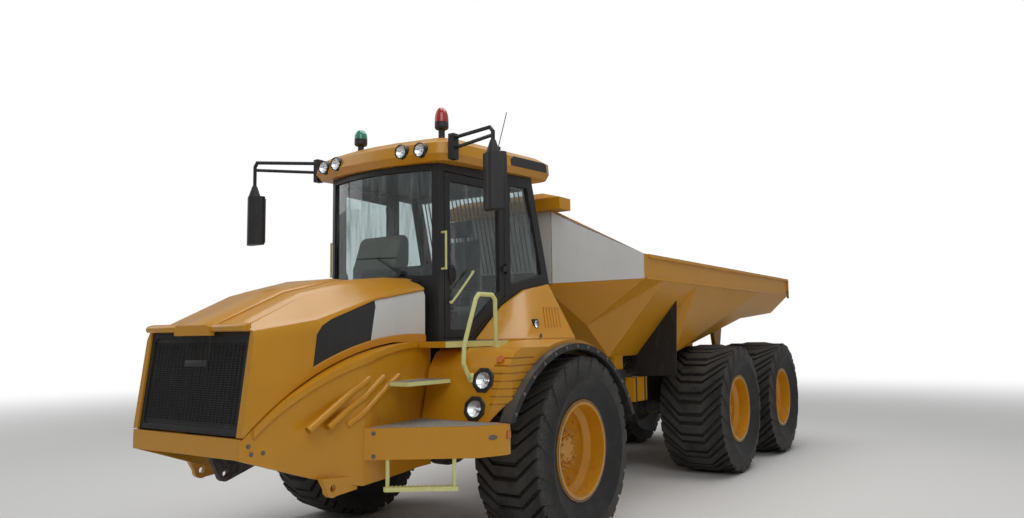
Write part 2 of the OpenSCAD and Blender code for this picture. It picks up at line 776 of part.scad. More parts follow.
module front_fenders() color(yellow) truck() both_sides() difference() {
    fender_form(0);
    for (z = groove_zs) difference() {
        box([1300, fender_w + over], [-1200, -700], [z, z + 9]);
        fender_form(groove_deep);
    }
    box([fender_in - over, sill_x + 10 + rest], [sill_y[0] - over, sill_y[1] + rest],
        [sill_z[0] - rest, sill_z[1] + over]);
    for (l = head_lamps) lamp_at(l) translate([0, 0, -lamp_deep - rest]) cylinder(r = l[3] + rest, h = 200);
    box([fender_in - over, 1500], [-1400, arch_at[0]], [900, deck_z + rest]);
}

module arch_flares() color(black) truck() both_sides() {
    difference() {
        side_slab(1400, 1500) intersection() {
            difference() {
                arch_circle(arch_r - rest);
                arch_circle(arch_r - arch_t);
            }
            translate([-1400, 1003]) square([2400, 1000]);
        }
        box([1300, 1600], [-1400, arch_at[0]], [900, deck_z + rest]);
    }
}

// Steps

deck_plan = concat([for (i = [3 : 6]) shell_face(rest)[i]],
    [[670 + rest, -1090 + 91], [1000, -1090], [1480, -1090], [1480, -1150], [1385, -1360]]);

// The strip between the shell and x, from y0 to y1
module beside_shell(x, y0, y1) difference() {
    translate([600, y0]) square([x - 600, y1 - y0]);
    polygon(concat([[0, -bumper_y]], shell_face(rest), [[0, -1000]]));
    translate([0, -1600]) square([765, 161]);
}

module step_boxes() color(yellow) truck() both_sides() {
    plan_slab(deck_z - deck_h, deck_z) polygon(deck_plan);
    box([fender_in, sill_x], [sill_y[0], sill_y[1]], sill_z);
}

hanger_xy = [[870, -1700], [1240, -1430]];

module step_treads() color(pale) truck() both_sides() {
    for (p = hanger_xy) translate([p[0], p[1], 700]) cylinder(r = 14, h = deck_z - deck_h - rest - 700);
    plan_slab(688, 718) hull() for (p = hanger_xy) translate(p) circle(r = 28);
    plan_slab(1392, 1420) beside_shell(940, -1570, -1090);
    box([sill_x + rest, sill_x + 10], [sill_y[0], sill_y[1] - 10], sill_z);
}

rail_r = 17;
pillar_bar_y = -800;
pillar_bar_z = [2290, 2590];
rail_x = 1111;
rail_foot = [-1056.6, 1430];          // on the pod's front face, [y, z]

module handrails() color(pale) truck() both_sides() {
    out = [0, -cos(pod_tilt), sin(pod_tilt)];
    foot = [rail_x, rail_foot[0], rail_foot[1]];
    pipe([foot + rest * out, foot + 30 * out, [rail_x, -1150, 1540], [rail_x, -1140, 1675],
        [rail_x, -990, 2025],
        [rail_x, -955, 2058], [rail_x, -780, 2058], [rail_x, -740, 2020], [rail_x, -735, pod_top + rest]],
            rail_r);
    pillar = cab_w(pillar_bar_y + 10) + rest;
    pipe([[pillar, pillar_bar_y, pillar_bar_z[0]], [pillar + 45, pillar_bar_y, pillar_bar_z[0]],
        [pillar + 45, pillar_bar_y, pillar_bar_z[1]], [pillar, pillar_bar_y, pillar_bar_z[1]]], 10, 6);
}

// The cover's upper points beside the cab: [y, z]
cover_rows = [[-380, 1715], [-200, 1880], [-60, 2000], [240, 2150], [600, 2215]];

// The fairing between the door, the cab and the wheel arch
module cover_form() hull() {
    plan_slab(1400, 1410) polygon([[cab_w(0) + 8, 0], [1010, 0], [1010, 640], [cab_w(640) + 8, 640]]);
    plan_slab(1660, 1712) polygon([[cab_w(-400) + 10, -400], [880, -300], [1010, -150], [1010, 700],
        [cab_w(700) + 8, 700]]);
    for (r = cover_rows) translate([cab_w(r[0]) + 9, r[0], r[1] - 20]) cube([30, 8, 20]);
}

// Slanted louvres at the rear of the cover
louvre_count = 6;
louvre_pitch = 52;
louvre_foot = [230, 1800];            // lower end of the first one, [y, z]
louvre_run = [100, 190];

module side_covers() color(yellow) truck() both_sides() difference() {
    cover_form();
    difference() {
        for (k = [0 : louvre_count - 1]) side_slab(800, 1100) translate(louvre_foot + [k * louvre_pitch, 0])
            polygon([[0, 0], [22, 0], [22, 0] + louvre_run, louvre_run]);
        translate([-14, 0, -6]) cover_form();
    }
    side_slab(600, 1100) arch_circle(arch_r + arch_wall + rest);
    side_slab(600, 1100) polygon([[-500, 1000], [-500, sill_z[1] + rest],
        [sill_y[1] + over, sill_z[1] + rest],
        [sill_y[1] + over, 1000]]);
    translate([side_lamp[0] - rest, side_lamp[1], side_lamp[2]]) rotate([0, 90, 0])
        cylinder(r = side_lamp[3] + rest, h = 300);
}

// A beacon on its foot. Both heights are above the foot.
module beacon(foot, stem_h, top_h) translate([foot[0], foot[1], foot[2]]) {
    cylinder(r = foot[3], h = stem_h);
    translate([0, 0, stem_h - 1]) cylinder(r = 60, h = top_h - stem_h - 39);
    translate([0, 0, top_h - 41]) cylinder(r1 = 60, r2 = 25, h = 41);
}

module beacon_red() color("red") truck() beacon(roof_feet[0], 100, 300);

module beacon_green() color("teal") truck() beacon(roof_feet[1], 110, 266);

// Mirrors: [side, x, y, lower z] of each housing
mirror_rows = [[1, 1250, -940, cab_top_z - 455], [-1, 1250, -1200, cab_top_z - 565]];

module mirrors() color(black) truck() for (m = mirror_rows) mirror([m[0] < 0 ? 1 : 0, 0, 0]) {
    translate([m[1], m[2], m[3]]) {
        plan_slab(0, 440) hull() {
            translate([-70, 20]) circle(r = 34);
            translate([70, 20]) circle(r = 34);
            translate([0, -20]) circle(r = 40);
        }
    }
    box([roof_w - 25, roof_w + 30], mirror_foot[0], mirror_foot[1]);
    top = cab_top_z + 190;
    pipe([[roof_w + 20, -850, top], [m[1] - 30, m[2], top], [m[1], m[2], top - 35],
        [m[1], m[2], m[3] + 300]], 16);
    bar([roof_w + 20, -850, top - 85], [m[1], m[2], top - 65], 14);
}

module aerial() color(black) truck() {
    foot = roof_feet[2];
    translate([foot[0], foot[1], foot[2]]) cylinder(r = foot[3], h = 45);
    bar([foot[0], foot[1], foot[2] + 40], [foot[0], foot[1] + 145, foot[2] + 405], 4);
}

// Hood

grille_lean = 90;                     // how far the grille's foot stands ahead of its top
hood_front_y = -2595;
hood_back_y = -1000;
hood_hinge = [-985, 2185];            // the hood's hinge axis, [y, z]
hood_lug_x = 430;
hood_pin_r = 12;

// Hood sections: [y, half width, shoulder height, crown height, half width of the crown]
hood_rows = [
    [-2700, 0, 1790, 1815, 400],
    [-2600, 0, 1800, 1835, 420],
    [-2085, 0.45, 1875, 2060, 430],
    [-1650, 0.8, 2010, 2165, 450],
    [-1270, 0.95, 2110, 2205, 470],
    [hood_back_y, 1, 2135, hood_top_z, 480]];

// The sunk panel on each side of the hood, above the seam: [y, z]
side_recess = [[-2155, 1400], [-2105, 1765], [-2060, 1825], [-1960, 1875], [-1530, 2022], [-900, 2128],
    [-900, 1400]];
recess_deep = 10;
seam_rim = 55;                        // from the seam to the sunk panel

// The raised middle of the hood, its front end hanging over the grille: [y, half width, underside, top]
spine_rows = [
    [-2650, 190, 1768, 1836],
    [-2616, 200, 1765, 1852],
    [-2600, 202, 1822, 1858],
    [-2085, 235, 2050, 2082],
    [-1650, 265, 2150, 2184],
    [-1560, 270, 2160, 2182]];

module hood_spine() loft([for (r = spine_rows) [for (p = closed([[r[1], r[2]], [r[1], r[3] - 14],
    [r[1] - 24, r[3]]])) [p[0], r[0], p[1]]]]);

function hood_ring(row, inset) = let (
    w = hood_front_w + (hood_rear_w - hood_front_w) * row[1] - inset,
    sh = row[2] - inset, crown = row[3] - inset, top_w = row[4] - inset)
    [for (p = closed([[w, 900], [w, sh - 60], [w - 22, sh - 8], [w - 75, sh + 22],
        [top_w, crown - 30], [top_w - 60, crown]])) [p[0], row[0], p[1]]];

module hood_solid(inset) loft([for (row = hood_rows) hood_ring(row, inset)]);

module hood() color(yellow) truck() {
    difference() {
        hood_solid(0);
        translate([0, hood_t, 0]) intersection() {
            hood_solid(hood_t);
            box([-1000, 1000], [hood_front_y - over, hood_back_y + over], [800, 2400]);
        }
        // the front leans, and the lower edge follows the seam
        side_slab(-1000, 1000) polygon([[-2900, 800], [-2900, 2000], [hood_front_y - 20, 2000],
            [hood_front_y - 20, 1812], [hood_front_y, 1790],
                [hood_front_y - grille_lean, bumper_z + bumper_h]]);
        side_slab(-1000, 1000) difference() {
            translate([-2800, 800]) square([2000, 900]);
            difference() {
                translate([-2800, bumper_z + bumper_h + gap]) square([2000, 900]);
                translate(hood_arch[0]) circle(r = hood_arch[1] + gap, $fn = 200);
            }
        }
        front_slab(-2800, hood_front_y + 90) polygon([[-535, 1100], [535, 1100], [539, 1790], [-539, 1790]]);
        difference() {
            side_slab(-1000, 1000) difference() {
                polygon(side_recess);
                translate(hood_arch[0]) circle(r = hood_arch[1] + seam_rim, $fn = 200);
            }
            hood_solid(recess_deep);
        }
    }
    hood_spine();
    both_sides() difference() {
        side_slab(hood_lug_x, hood_lug_x + 20) {
            polygon([[-1120, 2110], [-1120, 2160], [-1000, 2175], hood_hinge + [0, 20],
                hood_hinge - [0, 20]]);
            translate(hood_hinge) circle(r = 20);
        }
        cross_bar(hood_lug_x - 10, hood_lug_x + 30, hood_hinge, hood_pin_r + run);
    }
}

// The grille's face: the plane that the hood's front leans in, moved back by depth
module grille_side(depth) polygon([[hood_front_y + depth, 1850], [hood_front_y + depth, 1790],
    [hood_front_y + depth - grille_lean, 1133], [hood_front_y + depth - grille_lean, 1100],
    [-2000, 1100], [-2000, 1850]]);

grille_rim = 36;

module grille() color(black) truck() difference() {
    intersection() {
        front_slab(-2800, -2400) polygon([[-535 + rest, 1143], [535 - rest, 1143],
            [539 - rest, 1790 - rest], [-539 + rest, 1790 - rest]]);
        difference() {
            side_slab(-1000, 1000) grille_side(14);
            side_slab(-1100, 1100) grille_side(50);
        }
    }
    difference() {
        front_slab(-2800, -2400) offset(r = 30) polygon([[grille_rim + 30 - 535, 1173 + grille_rim],
            [505 - grille_rim, 1173 + grille_rim], [509 - grille_rim, 1760 - grille_rim],
            [grille_rim + 30 - 539, 1760 - grille_rim]]);
        side_slab(-1100, 1100) grille_side(26);
    }
}

// Rear frame

tongue_w = 150;
tongue_z = [800, 1120];
cross_t = 80;
tip_pin_r = 50;
tip_ear_x = [rail_x_in + 20, rail_x_in + 80];               // the frame's ear, beside the body's ear
tip_cyl_x = rail_x_in - 100;
tip_foot = [3050, 1050];              // the barrels' pin, [y, z]
tip_head = [5250, 1250];              // the rods' eyes at rest, [y, z]
tip_foot_r = 40;
foot_pad = [2250, 2450];              // where the body's front foot rests, [y, y]
foot_pad_z = 1330;

module rear_chassis() color(black) truck() {
    both_sides() {
        side_slab(rail_x_in, rail_x_out) polygon([[hitch_y + 400, rail_z], [hitch_y + 400, rail_top],
            [6600, rail_top], [6600, rail_z + 100], [6450, rail_z]]);
        difference() {
            side_slab(tip_ear_x[0], tip_ear_x[1]) union() {
                polygon([[tip_y - 200, rail_top - 1], [tip_y - 70, tip_z + 20], [tip_y + 70, tip_z + 20],
                    [tip_y + 200, rail_top - 1]]);
                translate([tip_y, tip_z]) circle(r = 90);
            }
            cross_bar(tip_ear_x[0] - 50, tip_ear_x[1] + 50, [tip_y, tip_z], tip_pin_r + run);
        }
        box([rail_x_out - 1, rail_x_out + 180], [foot_pad[0] - 20, foot_pad[1] + 20],
            [rail_top - 100, foot_pad_z]);
        for (z = [steer_z - steer_eye_h / 2 - ear_gap - ear_t, steer_z + steer_eye_h / 2 + ear_gap])
            box([steer_rear[0] - 90, steer_rear[0] + 90], [steer_rear[1] - 80, hitch_y + 401],
                [z, z + ear_t]);
    }
    box([-rail_x_out, rail_x_out], [hitch_y + 400, hitch_y + 400 + cross_t], [rail_z, rail_top]);
    for (y = [2700, 3600, 4600, 5500])
        box([-rail_x_in - 1, rail_x_in + 1], [y, y + cross_t], [rail_z, rail_z + 45]);
    box([-rail_x_in - 1, rail_x_in + 1], [6520, 6599], [rail_z + 101, rail_top]);
    box([-tongue_w, tongue_w], [hitch_y, hitch_y + 401], tongue_z);
    translate([0, hitch_y, tongue_z[0]]) cylinder(r = tongue_w, h = tongue_z[1] - tongue_z[0]);
    translate([0, hitch_y, yoke_z[0] - 10])
        cylinder(r = hitch_pin_r, h = yoke_z[1] + yoke_t + 20 - yoke_z[0]);
    cross_bar(-rail_x_in - 1, rail_x_in + 1, tip_foot, tip_foot_r);
}

bogie_x = [rail_x_out + 50, rail_x_out + 130];
bogie_y = middle_y + bogie_pitch / 2;
bogie_low = wheel_z + axle_r - 30;

module bogie_beams() color(black) truck() both_sides() {
    difference() {
        side_slab(bogie_x[0], bogie_x[1]) polygon([[middle_y - 140, bogie_low], [rear_y + 140, bogie_low],
            [rear_y + 140, 980], [bogie_y + 250, 1100], [bogie_y - 250, 1100], [middle_y - 140, 980]]);
        for (y = [middle_y, rear_y])
            cross_bar(bogie_x[0] - 10, bogie_x[1] + 10, [y, wheel_z], axle_r + rest);
    }
    cross_bar(rail_x_out + rest, bogie_x[0] + 1, [bogie_y, 1030], 70);
}

module rear_axles() color(black) truck() for (y = [middle_y, rear_y]) translate([0, y, wheel_z])
    axle(rear_tyre_w);

module side_tanks() color(yellow) truck() both_sides() {
    box([rail_x_out + rest, rail_x_out + 270], [2500, 2850], [rail_z + 10, rail_top - 15]);
}

module tail_lamps() color("red") truck() both_sides() {
    box([rail_x_in, rail_x_out], [6600 + rest, 6630], [rail_top - 120, rail_top - 40]);
}

// Dump body

bed_floor_w = rail_x_out + 140;       // half width of the floor between the wheels

// Body sections: [y, lower half width, lower height, upper half width, rail foot height, rail top height]
bed_rows = [
    [bed_front_y, 500, 2190, 560, 2250, bed_head_z],
    [bed_front_y + 600, bed_floor_w, 1830, bed_w, bed_rail_z - bed_rail_h, bed_rail_z],
    [2150, bed_floor_w - 10, 1480, bed_w, bed_rail_z - bed_rail_h, bed_rail_z],
    [2900, bed_floor_w, 1480, bed_w, bed_rail_z - bed_rail_h, bed_rail_z],
    [3150, 980, 1500, bed_w, bed_rail_z - bed_rail_h, bed_rail_z],
    [5600, 1000, 1930, bed_w, bed_rail_z - bed_rail_h, bed_rail_z],
    [bed_tail_y, 1020, 2030, bed_w, bed_rail_z - bed_rail_h, bed_rail_z]];

function bed_ring(row, inset, y, rise) = [for (p = closed([[row[1] - inset * 0.7, row[2] + inset],
    [row[3] - inset, row[4] + inset * 0.3], [row[3] - inset, row[5] + rise]])) [p[0], y, p[1]]];

module bed_solid(inset, rise) loft([for (i = [0 : len(bed_rows) - 1])
    bed_ring(bed_rows[i], inset, bed_rows[i][0]
        + (i == 0 ? inset : i == len(bed_rows) - 1 ? 2 * inset : 0), rise)]);

bed_ear_x = [rail_x_in - 50, rail_x_in + 10];

module bed_shell() color(yellow) truck() {
    difference() {
        bed_solid(0, 0);
        bed_solid(bed_t, 60);
    }
    hull() {
        box([-720, 720], [bed_front_y - 100, bed_front_y + 120], [bed_head_z - 20, bed_head_z + 100]);
        box([-500, 500], [bed_front_y - 60, bed_front_y + 40], [bed_head_z + 100, bed_head_z + 160]);
    }
    both_sides() {
        side_slab(bed_ear_x[0], bed_ear_x[1]) union() {
            polygon([[tip_y - 260, 1985], [tip_y - 80, tip_z], [tip_y + 80, tip_z], [tip_y + 260, 2000]]);
            translate([tip_y, tip_z]) circle(r = 90);
        }
        cross_bar(bed_ear_x[1] - 1, tip_ear_x[1] + 12, [tip_y, tip_z], tip_pin_r);
        for (x = [tip_cyl_x - 65, tip_cyl_x + 45]) side_slab(x, x + 20) union() {
            polygon([[tip_head[0] - 200, 1870], [tip_head[0] - 90, tip_head[1]],
                [tip_head[0] + 90, tip_head[1]],
                [tip_head[0] + 200, 1900]]);
            translate(tip_head) circle(r = 90);
        }
        box([rail_x_out + 10, rail_x_out + 160], foot_pad, [foot_pad_z + rest, 1500]);
        box([bed_w - 1, bed_w + 22], [bed_tail_y - 42, bed_tail_y - 2],
            [bed_rail_z - bed_rail_h - 45, bed_rail_z - 1]);
        box([bed_w - 1, bed_w + 22], [bed_front_y + 700, bed_tail_y - 41],
            [bed_rail_z - 36, bed_rail_z - 1]);
    }
}

module headboard_plates() color(grey) truck() {
    box([-555, 555], [bed_front_y - head_plate_t - rest, bed_front_y - rest], [2255, bed_head_z - 24]);
    both_sides() loft([for (out = [head_plate_t + rest, rest]) let (d = out * [0.63, -0.777])
        [for (q = [[560, bed_front_y, 2256], [bed_w, bed_front_y + 600, 2302],
            [bed_w, bed_front_y + 600, bed_rail_z - 2],
            [740, bed_front_y + 146, bed_head_z - 150], [560, bed_front_y, bed_head_z - 24]])
            [q[0] + d[0], q[1] + d[1], q[2]]]]);
}

flap_y = 2862;
wall_out = [0.770, -0.638];           // the hopper wall's outward direction, [x, z]

module bed_flaps() color(black) truck() both_sides() front_slab(flap_y, flap_y + 25) polygon([
    [640, 1230], [1110, 1250], [1140, 2090], [1142, 2108] + rest * wall_out,
        [bed_floor_w - 0.1, 1480] + rest * wall_out]);

// Cylinders

// A barrel from its eye at the origin along +Y. The eye's hole runs along Z.
module barrel(r, length, bore_r, eye_r, eye_h, pin_r) difference() {
    union() {
        translate([0, 0, -eye_h / 2]) cylinder(r = eye_r, h = eye_h);
        translate([0, eye_r * 0.7, 0]) rotate([-90, 0, 0]) cylinder(r = r, h = length - eye_r * 0.7);
    }
    translate([0, 0, -eye_h]) cylinder(r = pin_r + run, h = 2 * eye_h);
    translate([0, eye_r + 40, 0]) rotate([-90, 0, 0]) cylinder(r = bore_r + run, h = length);
}

// A rod whose eye is at the origin and whose rod runs along -Y.
module rod(r, length, eye_r, eye_h) {
    translate([0, 0, -eye_h / 2]) cylinder(r = eye_r, h = eye_h);
    rotate([90, 0, 0]) cylinder(r = r, h = length);
}

steer_barrel_l = 1000;
steer_rod_l = 950;
tip_barrel_l = 1900;
tip_rod_l = 1850;

steer_run = [steer_rear[0] - steer_front[0], steer_rear[1] - steer_front[1]];
steer_turn = -atan2(steer_run[0], steer_run[1]);
tip_run = tip_head - tip_foot;
tip_turn = atan2(tip_run[1], tip_run[0]);

module steer_barrel(side) color("dimgray") truck() mirror([side < 0 ? 1 : 0, 0, 0])
    translate([steer_front[0], steer_front[1], steer_z]) rotate([0, 0, steer_turn])
        barrel(steer_barrel_r, steer_barrel_l, steer_rod_r, steer_eye_r, steer_eye_h, steer_pin_r);

module steer_rod(side) color(steel) truck() mirror([side < 0 ? 1 : 0, 0, 0])
    translate([steer_rear[0], steer_rear[1], steer_z]) rotate([0, 0, steer_turn])
        rod(steer_rod_r, steer_rod_l, steer_eye_r - 5, steer_eye_h);

module tip_barrels() color("dimgray") truck() both_sides() translate([tip_cyl_x, tip_foot[0], tip_foot[1]])
    rotate([tip_turn, 0, 0]) rotate([0, 90, 0])
        barrel(tip_barrel_r, tip_barrel_l, tip_rod_r, 80, 80, tip_foot_r);

module tip_rods() color(steel) truck() both_sides() translate([tip_cyl_x, tip_head[0], tip_head[1]])
    rotate([tip_turn, 0, 0]) rotate([0, 90, 0]) rod(tip_rod_r, tip_rod_l, 70, 60);

front_chassis();
bumper_shell();
engine_block();
front_axle();
cab_frame();
cab_glass();
cab_roof();
driver_seat();
steering_column();
front_fenders();
arch_flares();
step_boxes();
step_treads();
handrails();
side_covers();
lamps();
lamp_bezels();
indicators();
beacon_red();
beacon_green();
mirrors();
aerial();
hood();
grille();
left_door();
left_door_glass();
right_door();
right_door_glass();
rear_chassis();
bogie_beams();
rear_axles();
side_tanks();
tail_lamps();
bed_shell();
headboard_plates();
bed_flaps();
steer_barrel(1);  // steer_barrel_left
steer_rod(1);  // steer_rod_left
steer_barrel(-1);  // steer_barrel_right
steer_rod(-1);  // steer_rod_right
tip_barrels();
tip_rods();
front_tyre(1);  // front_left_tyre
front_rim(1);  // front_left_rim
front_tyre(-1);  // front_right_tyre
front_rim(-1);  // front_right_rim
rear_tyre(1, middle_y);  // middle_left_tyre
rear_rim(1, middle_y);  // middle_left_rim
rear_tyre(-1, middle_y);  // middle_right_tyre
rear_rim(-1, middle_y);  // middle_right_rim
rear_tyre(1, rear_y);  // rear_left_tyre
rear_rim(1, rear_y);  // rear_left_rim
rear_tyre(-1, rear_y);  // rear_right_tyre
rear_rim(-1, rear_y);  // rear_right_rim
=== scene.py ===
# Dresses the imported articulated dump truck: paint, rubber, glass, trim, floor, lights and camera.
# Lengths are metres. The front faces -Y, the left side is +X, and the ground is z = 0.
import json
import math

import bmesh
import bpy
from mathutils import Matrix, Vector
from mathutils.bvhtree import BVHTree

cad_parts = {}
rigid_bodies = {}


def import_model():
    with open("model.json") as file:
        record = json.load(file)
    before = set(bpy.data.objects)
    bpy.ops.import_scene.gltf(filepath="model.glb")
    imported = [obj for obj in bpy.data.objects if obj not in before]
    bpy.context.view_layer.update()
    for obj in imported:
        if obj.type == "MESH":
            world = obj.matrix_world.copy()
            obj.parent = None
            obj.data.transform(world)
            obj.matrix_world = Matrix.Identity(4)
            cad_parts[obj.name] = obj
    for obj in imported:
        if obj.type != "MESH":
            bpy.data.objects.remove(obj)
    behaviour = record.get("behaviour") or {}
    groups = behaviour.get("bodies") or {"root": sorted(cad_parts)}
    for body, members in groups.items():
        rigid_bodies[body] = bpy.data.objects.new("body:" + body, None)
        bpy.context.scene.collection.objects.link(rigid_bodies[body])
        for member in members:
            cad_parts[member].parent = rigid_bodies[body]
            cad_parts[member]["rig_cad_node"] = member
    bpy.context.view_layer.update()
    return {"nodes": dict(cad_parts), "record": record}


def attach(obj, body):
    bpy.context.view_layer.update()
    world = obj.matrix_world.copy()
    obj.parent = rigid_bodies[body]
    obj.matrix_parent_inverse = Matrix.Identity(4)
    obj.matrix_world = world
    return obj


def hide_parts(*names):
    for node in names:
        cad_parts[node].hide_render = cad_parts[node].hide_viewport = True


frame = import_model()
nodes = frame["nodes"]

truckFrame = {"axleY": (-2.205, 1.825, 3.765), "wheelRadius": 0.79}
sides = (1, -1)                       # left and right
leftward, rearward, upward = Vector((1, 0, 0)), Vector((0, 1, 0)), Vector((0, 0, 1))


def spot(x, y, z):
    # y counts from the front axle
    return Vector((x, y + truckFrame["axleY"][0], z))


def between(a, b, t):
    return a + (b - a) * t


def clearStart():
    for name in ("Cube", "Light", "Camera"):
        found = bpy.data.objects.get(name)
        if found and "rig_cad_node" not in found:
            bpy.data.objects.remove(found)


clearStart()
print("frame loaded:", len(nodes), "nodes")


# Node helpers

def wire(tree, node, inputs):
    # links a socket, or writes a plain value
    for key, value in inputs.items():
        if isinstance(value, bpy.types.NodeSocket):
            tree.links.new(value, node.inputs[key])
        else:
            node.inputs[key].default_value = value


def put(tree, kind, inputs=None, **settings):
    node = tree.nodes.new(kind)
    for name, value in settings.items():
        setattr(node, name, value)
    wire(tree, node, inputs or {})
    return node


def result(tree, kind, inputs=None, **settings):
    return put(tree, kind, inputs, **settings).outputs[0]


def maths(tree, operation, a, b=0.0, clamp=False):
    return result(tree, "ShaderNodeMath", {0: a, 1: b}, operation=operation, use_clamp=clamp)


def times(tree, a, b, clamp=False):
    return maths(tree, "MULTIPLY", a, b, clamp)


def vectorMaths(tree, operation, *parts):
    node = put(tree, "ShaderNodeVectorMath", dict(enumerate(parts)), operation=operation)
    return node.outputs["Vector" if operation == "SUBTRACT" else "Value"]


def coordsOf(tree):
    return put(tree, "ShaderNodeTexCoord").outputs


def axesOf(tree, vector):
    return put(tree, "ShaderNodeSeparateXYZ", {0: vector}).outputs


def lineReach(tree, axes, y, z):
    # how far a place lies from a line along x
    away = {1: maths(tree, "SUBTRACT", axes["Y"], y), 2: maths(tree, "SUBTRACT", axes["Z"], z)}
    return vectorMaths(tree, "LENGTH", result(tree, "ShaderNodeCombineXYZ", away))


def asColor(value):
    return value if isinstance(value, bpy.types.NodeSocket) else (*value[:3], 1.0)


def blendColor(tree, mask, a, b):
    node = put(tree, "ShaderNodeMix", {"Factor": mask}, data_type="RGBA")
    wire(tree, node, {6: asColor(a), 7: asColor(b)})
    return node.outputs[2]


def blendValue(tree, mask, a, b):
    return result(tree, "ShaderNodeMix", {"Factor": mask, 2: a, 3: b})


def ranged(tree, value, low, high):
    # 0 at low and 1 at high, with a smooth step between them
    return result(tree, "ShaderNodeMapRange", {"Value": value, "From Min": low, "From Max": high},
        interpolation_type="SMOOTHSTEP")


def noise(tree, vector, scale, detail=4.0, roughness=0.55):
    return put(tree, "ShaderNodeTexNoise", {"Vector": vector, "Scale": scale, "Detail": detail,
        "Roughness": roughness}).outputs["Fac"]


def stretched(tree, vector, scale):
    return result(tree, "ShaderNodeMapping", {"Vector": vector, "Scale": scale})


def newGroup(name, inputs, outputs):
    group = bpy.data.node_groups.new(name, "ShaderNodeTree")
    for label, kind, value in inputs:
        socket = group.interface.new_socket(label, in_out="INPUT", socket_type="NodeSocket" + kind)
        if value is not None:
            socket.default_value = value
    for label, kind in outputs:
        group.interface.new_socket(label, in_out="OUTPUT", socket_type="NodeSocket" + kind)
    return group, group.nodes.new("NodeGroupInput").outputs, group.nodes.new("NodeGroupOutput").inputs


def giveOut(group, made, values):
    for label, value in values.items():
        group.links.new(value, made[label])
    return group


def groupNode(tree, group, inputs):
    return put(tree, "ShaderNodeGroup", inputs, node_tree=group).outputs


# Shared effects

streakStretch = (6.0, 6.0, 0.7)       # long along z


def makeGrime():
    group, given, made = newGroup("roadGrime",
        [("Dust", "Float", 0.3), ("Mud", "Float", 0.3), ("Mud Top", "Float", 1.0), ("Scale", "Float", 3.0)],
        [("Dust Mask", "Float"), ("Mud Mask", "Float")])
    coords = coordsOf(group)
    place = coords["Object"]
    patches = noise(group, place, given["Scale"], 6.0, 0.6)
    streaks = noise(group, stretched(group, place, streakStretch), given["Scale"], 5.0)
    facingUp = ranged(group, axesOf(group, coords["Normal"])["Z"], 0.2, 0.95)
    lying = times(group, facingUp, ranged(group, patches, 0.38, 0.66))
    hanging = times(group, ranged(group, streaks, 0.52, 0.75), 0.45)
    drop = maths(group, "SUBTRACT", given["Mud Top"], axesOf(group, place)["Z"])
    low = ranged(group, maths(group, "ADD", drop, times(group, patches, 0.5)), 0.2, 1.1)
    mud = times(group, low, ranged(group, noise(group, place, 22.0, 5.0, 0.7), 0.42, 0.6))
    return giveOut(group, made, {
        "Dust Mask": times(group, maths(group, "MAXIMUM", lying, hanging), given["Dust"], True),
        "Mud Mask": times(group, mud, given["Mud"], True)})


def makeEdgeWear():
    group, given, made = newGroup("edgeWear",
        [("Width", "Float", 0.006), ("Wear", "Float", 0.5), ("Scale", "Float", 9.0)],
        [("Mask", "Float"), ("Normal", "Vector")])
    bevelled = result(group, "ShaderNodeBevel", {"Radius": given["Width"]}, samples=4)
    surface = put(group, "ShaderNodeNewGeometry").outputs["Normal"]
    edge = ranged(group, vectorMaths(group, "DOT_PRODUCT", bevelled, surface), 0.995, 0.86)
    chips = ranged(group, noise(group, coordsOf(group)["Object"], given["Scale"], 8.0, 0.7), 0.5, 0.62)
    mask = times(group, times(group, edge, chips), given["Wear"], True)
    return giveOut(group, made, {"Mask": mask, "Normal": bevelled})


def makeGrain():
    group, given, made = newGroup("fineGrain",
        [("Scale", "Float", 200.0), ("Strength", "Float", 0.1), ("Distance", "Float", 0.001),
            ("Normal", "Vector", None)],
        [("Normal", "Vector"), ("Value", "Float")])
    fine = noise(group, coordsOf(group)["Object"], given["Scale"], 3.0)
    bump = result(group, "ShaderNodeBump", {"Strength": given["Strength"], "Distance": given["Distance"],
        "Height": fine, "Normal": given["Normal"]})
    return giveOut(group, made, {"Normal": bump, "Value": fine})


def makeTone():
    group, given, made = newGroup("toneShift",
        [("Color", "Color", (0.5, 0.5, 0.5, 1)), ("Shift", "Float", 0.12), ("Scale", "Float", 1.6)],
        [("Color", "Color")])
    wide = noise(group, coordsOf(group)["Object"], given["Scale"], 5.0, 0.6)
    swing = times(group, maths(group, "SUBTRACT", wide, 0.5), given["Shift"])
    level = maths(group, "ADD", times(group, swing, 2.0), 1.0)
    shifted = result(group, "ShaderNodeHueSaturation", {"Value": level, "Color": given["Color"]})
    return giveOut(group, made, {"Color": shifted})


def makeHalfPlane():
    group, given, made = newGroup("halfPlane", [("Edge", "Vector", None), ("Offset", "Float", 0.0)],
        [("Mask", "Float")])
    reach = vectorMaths(group, "DOT_PRODUCT", coordsOf(group)["Object"], given["Edge"])
    past = maths(group, "SUBTRACT", reach, given["Offset"])
    return giveOut(group, made, {"Mask": ranged(group, past, -0.001, 0.001)})


def makeWheelRadius():
    # how far a place lies from the nearest axle
    group, given, made = newGroup("wheelRadius", [], [("Radius", "Float")])
    axes = axesOf(group, coordsOf(group)["Object"])
    near, *others = [lineReach(group, axes, y, truckFrame["wheelRadius"]) for y in truckFrame["axleY"]]
    for other in others:
        near = maths(group, "MINIMUM", near, other)
    return giveOut(group, made, {"Radius": near})


grime = makeGrime()
edgeWear = makeEdgeWear()
grain = makeGrain()
toneShift = makeTone()
halfPlane = makeHalfPlane()
wheelRadius = makeWheelRadius()
print("shared effects made")


# Materials

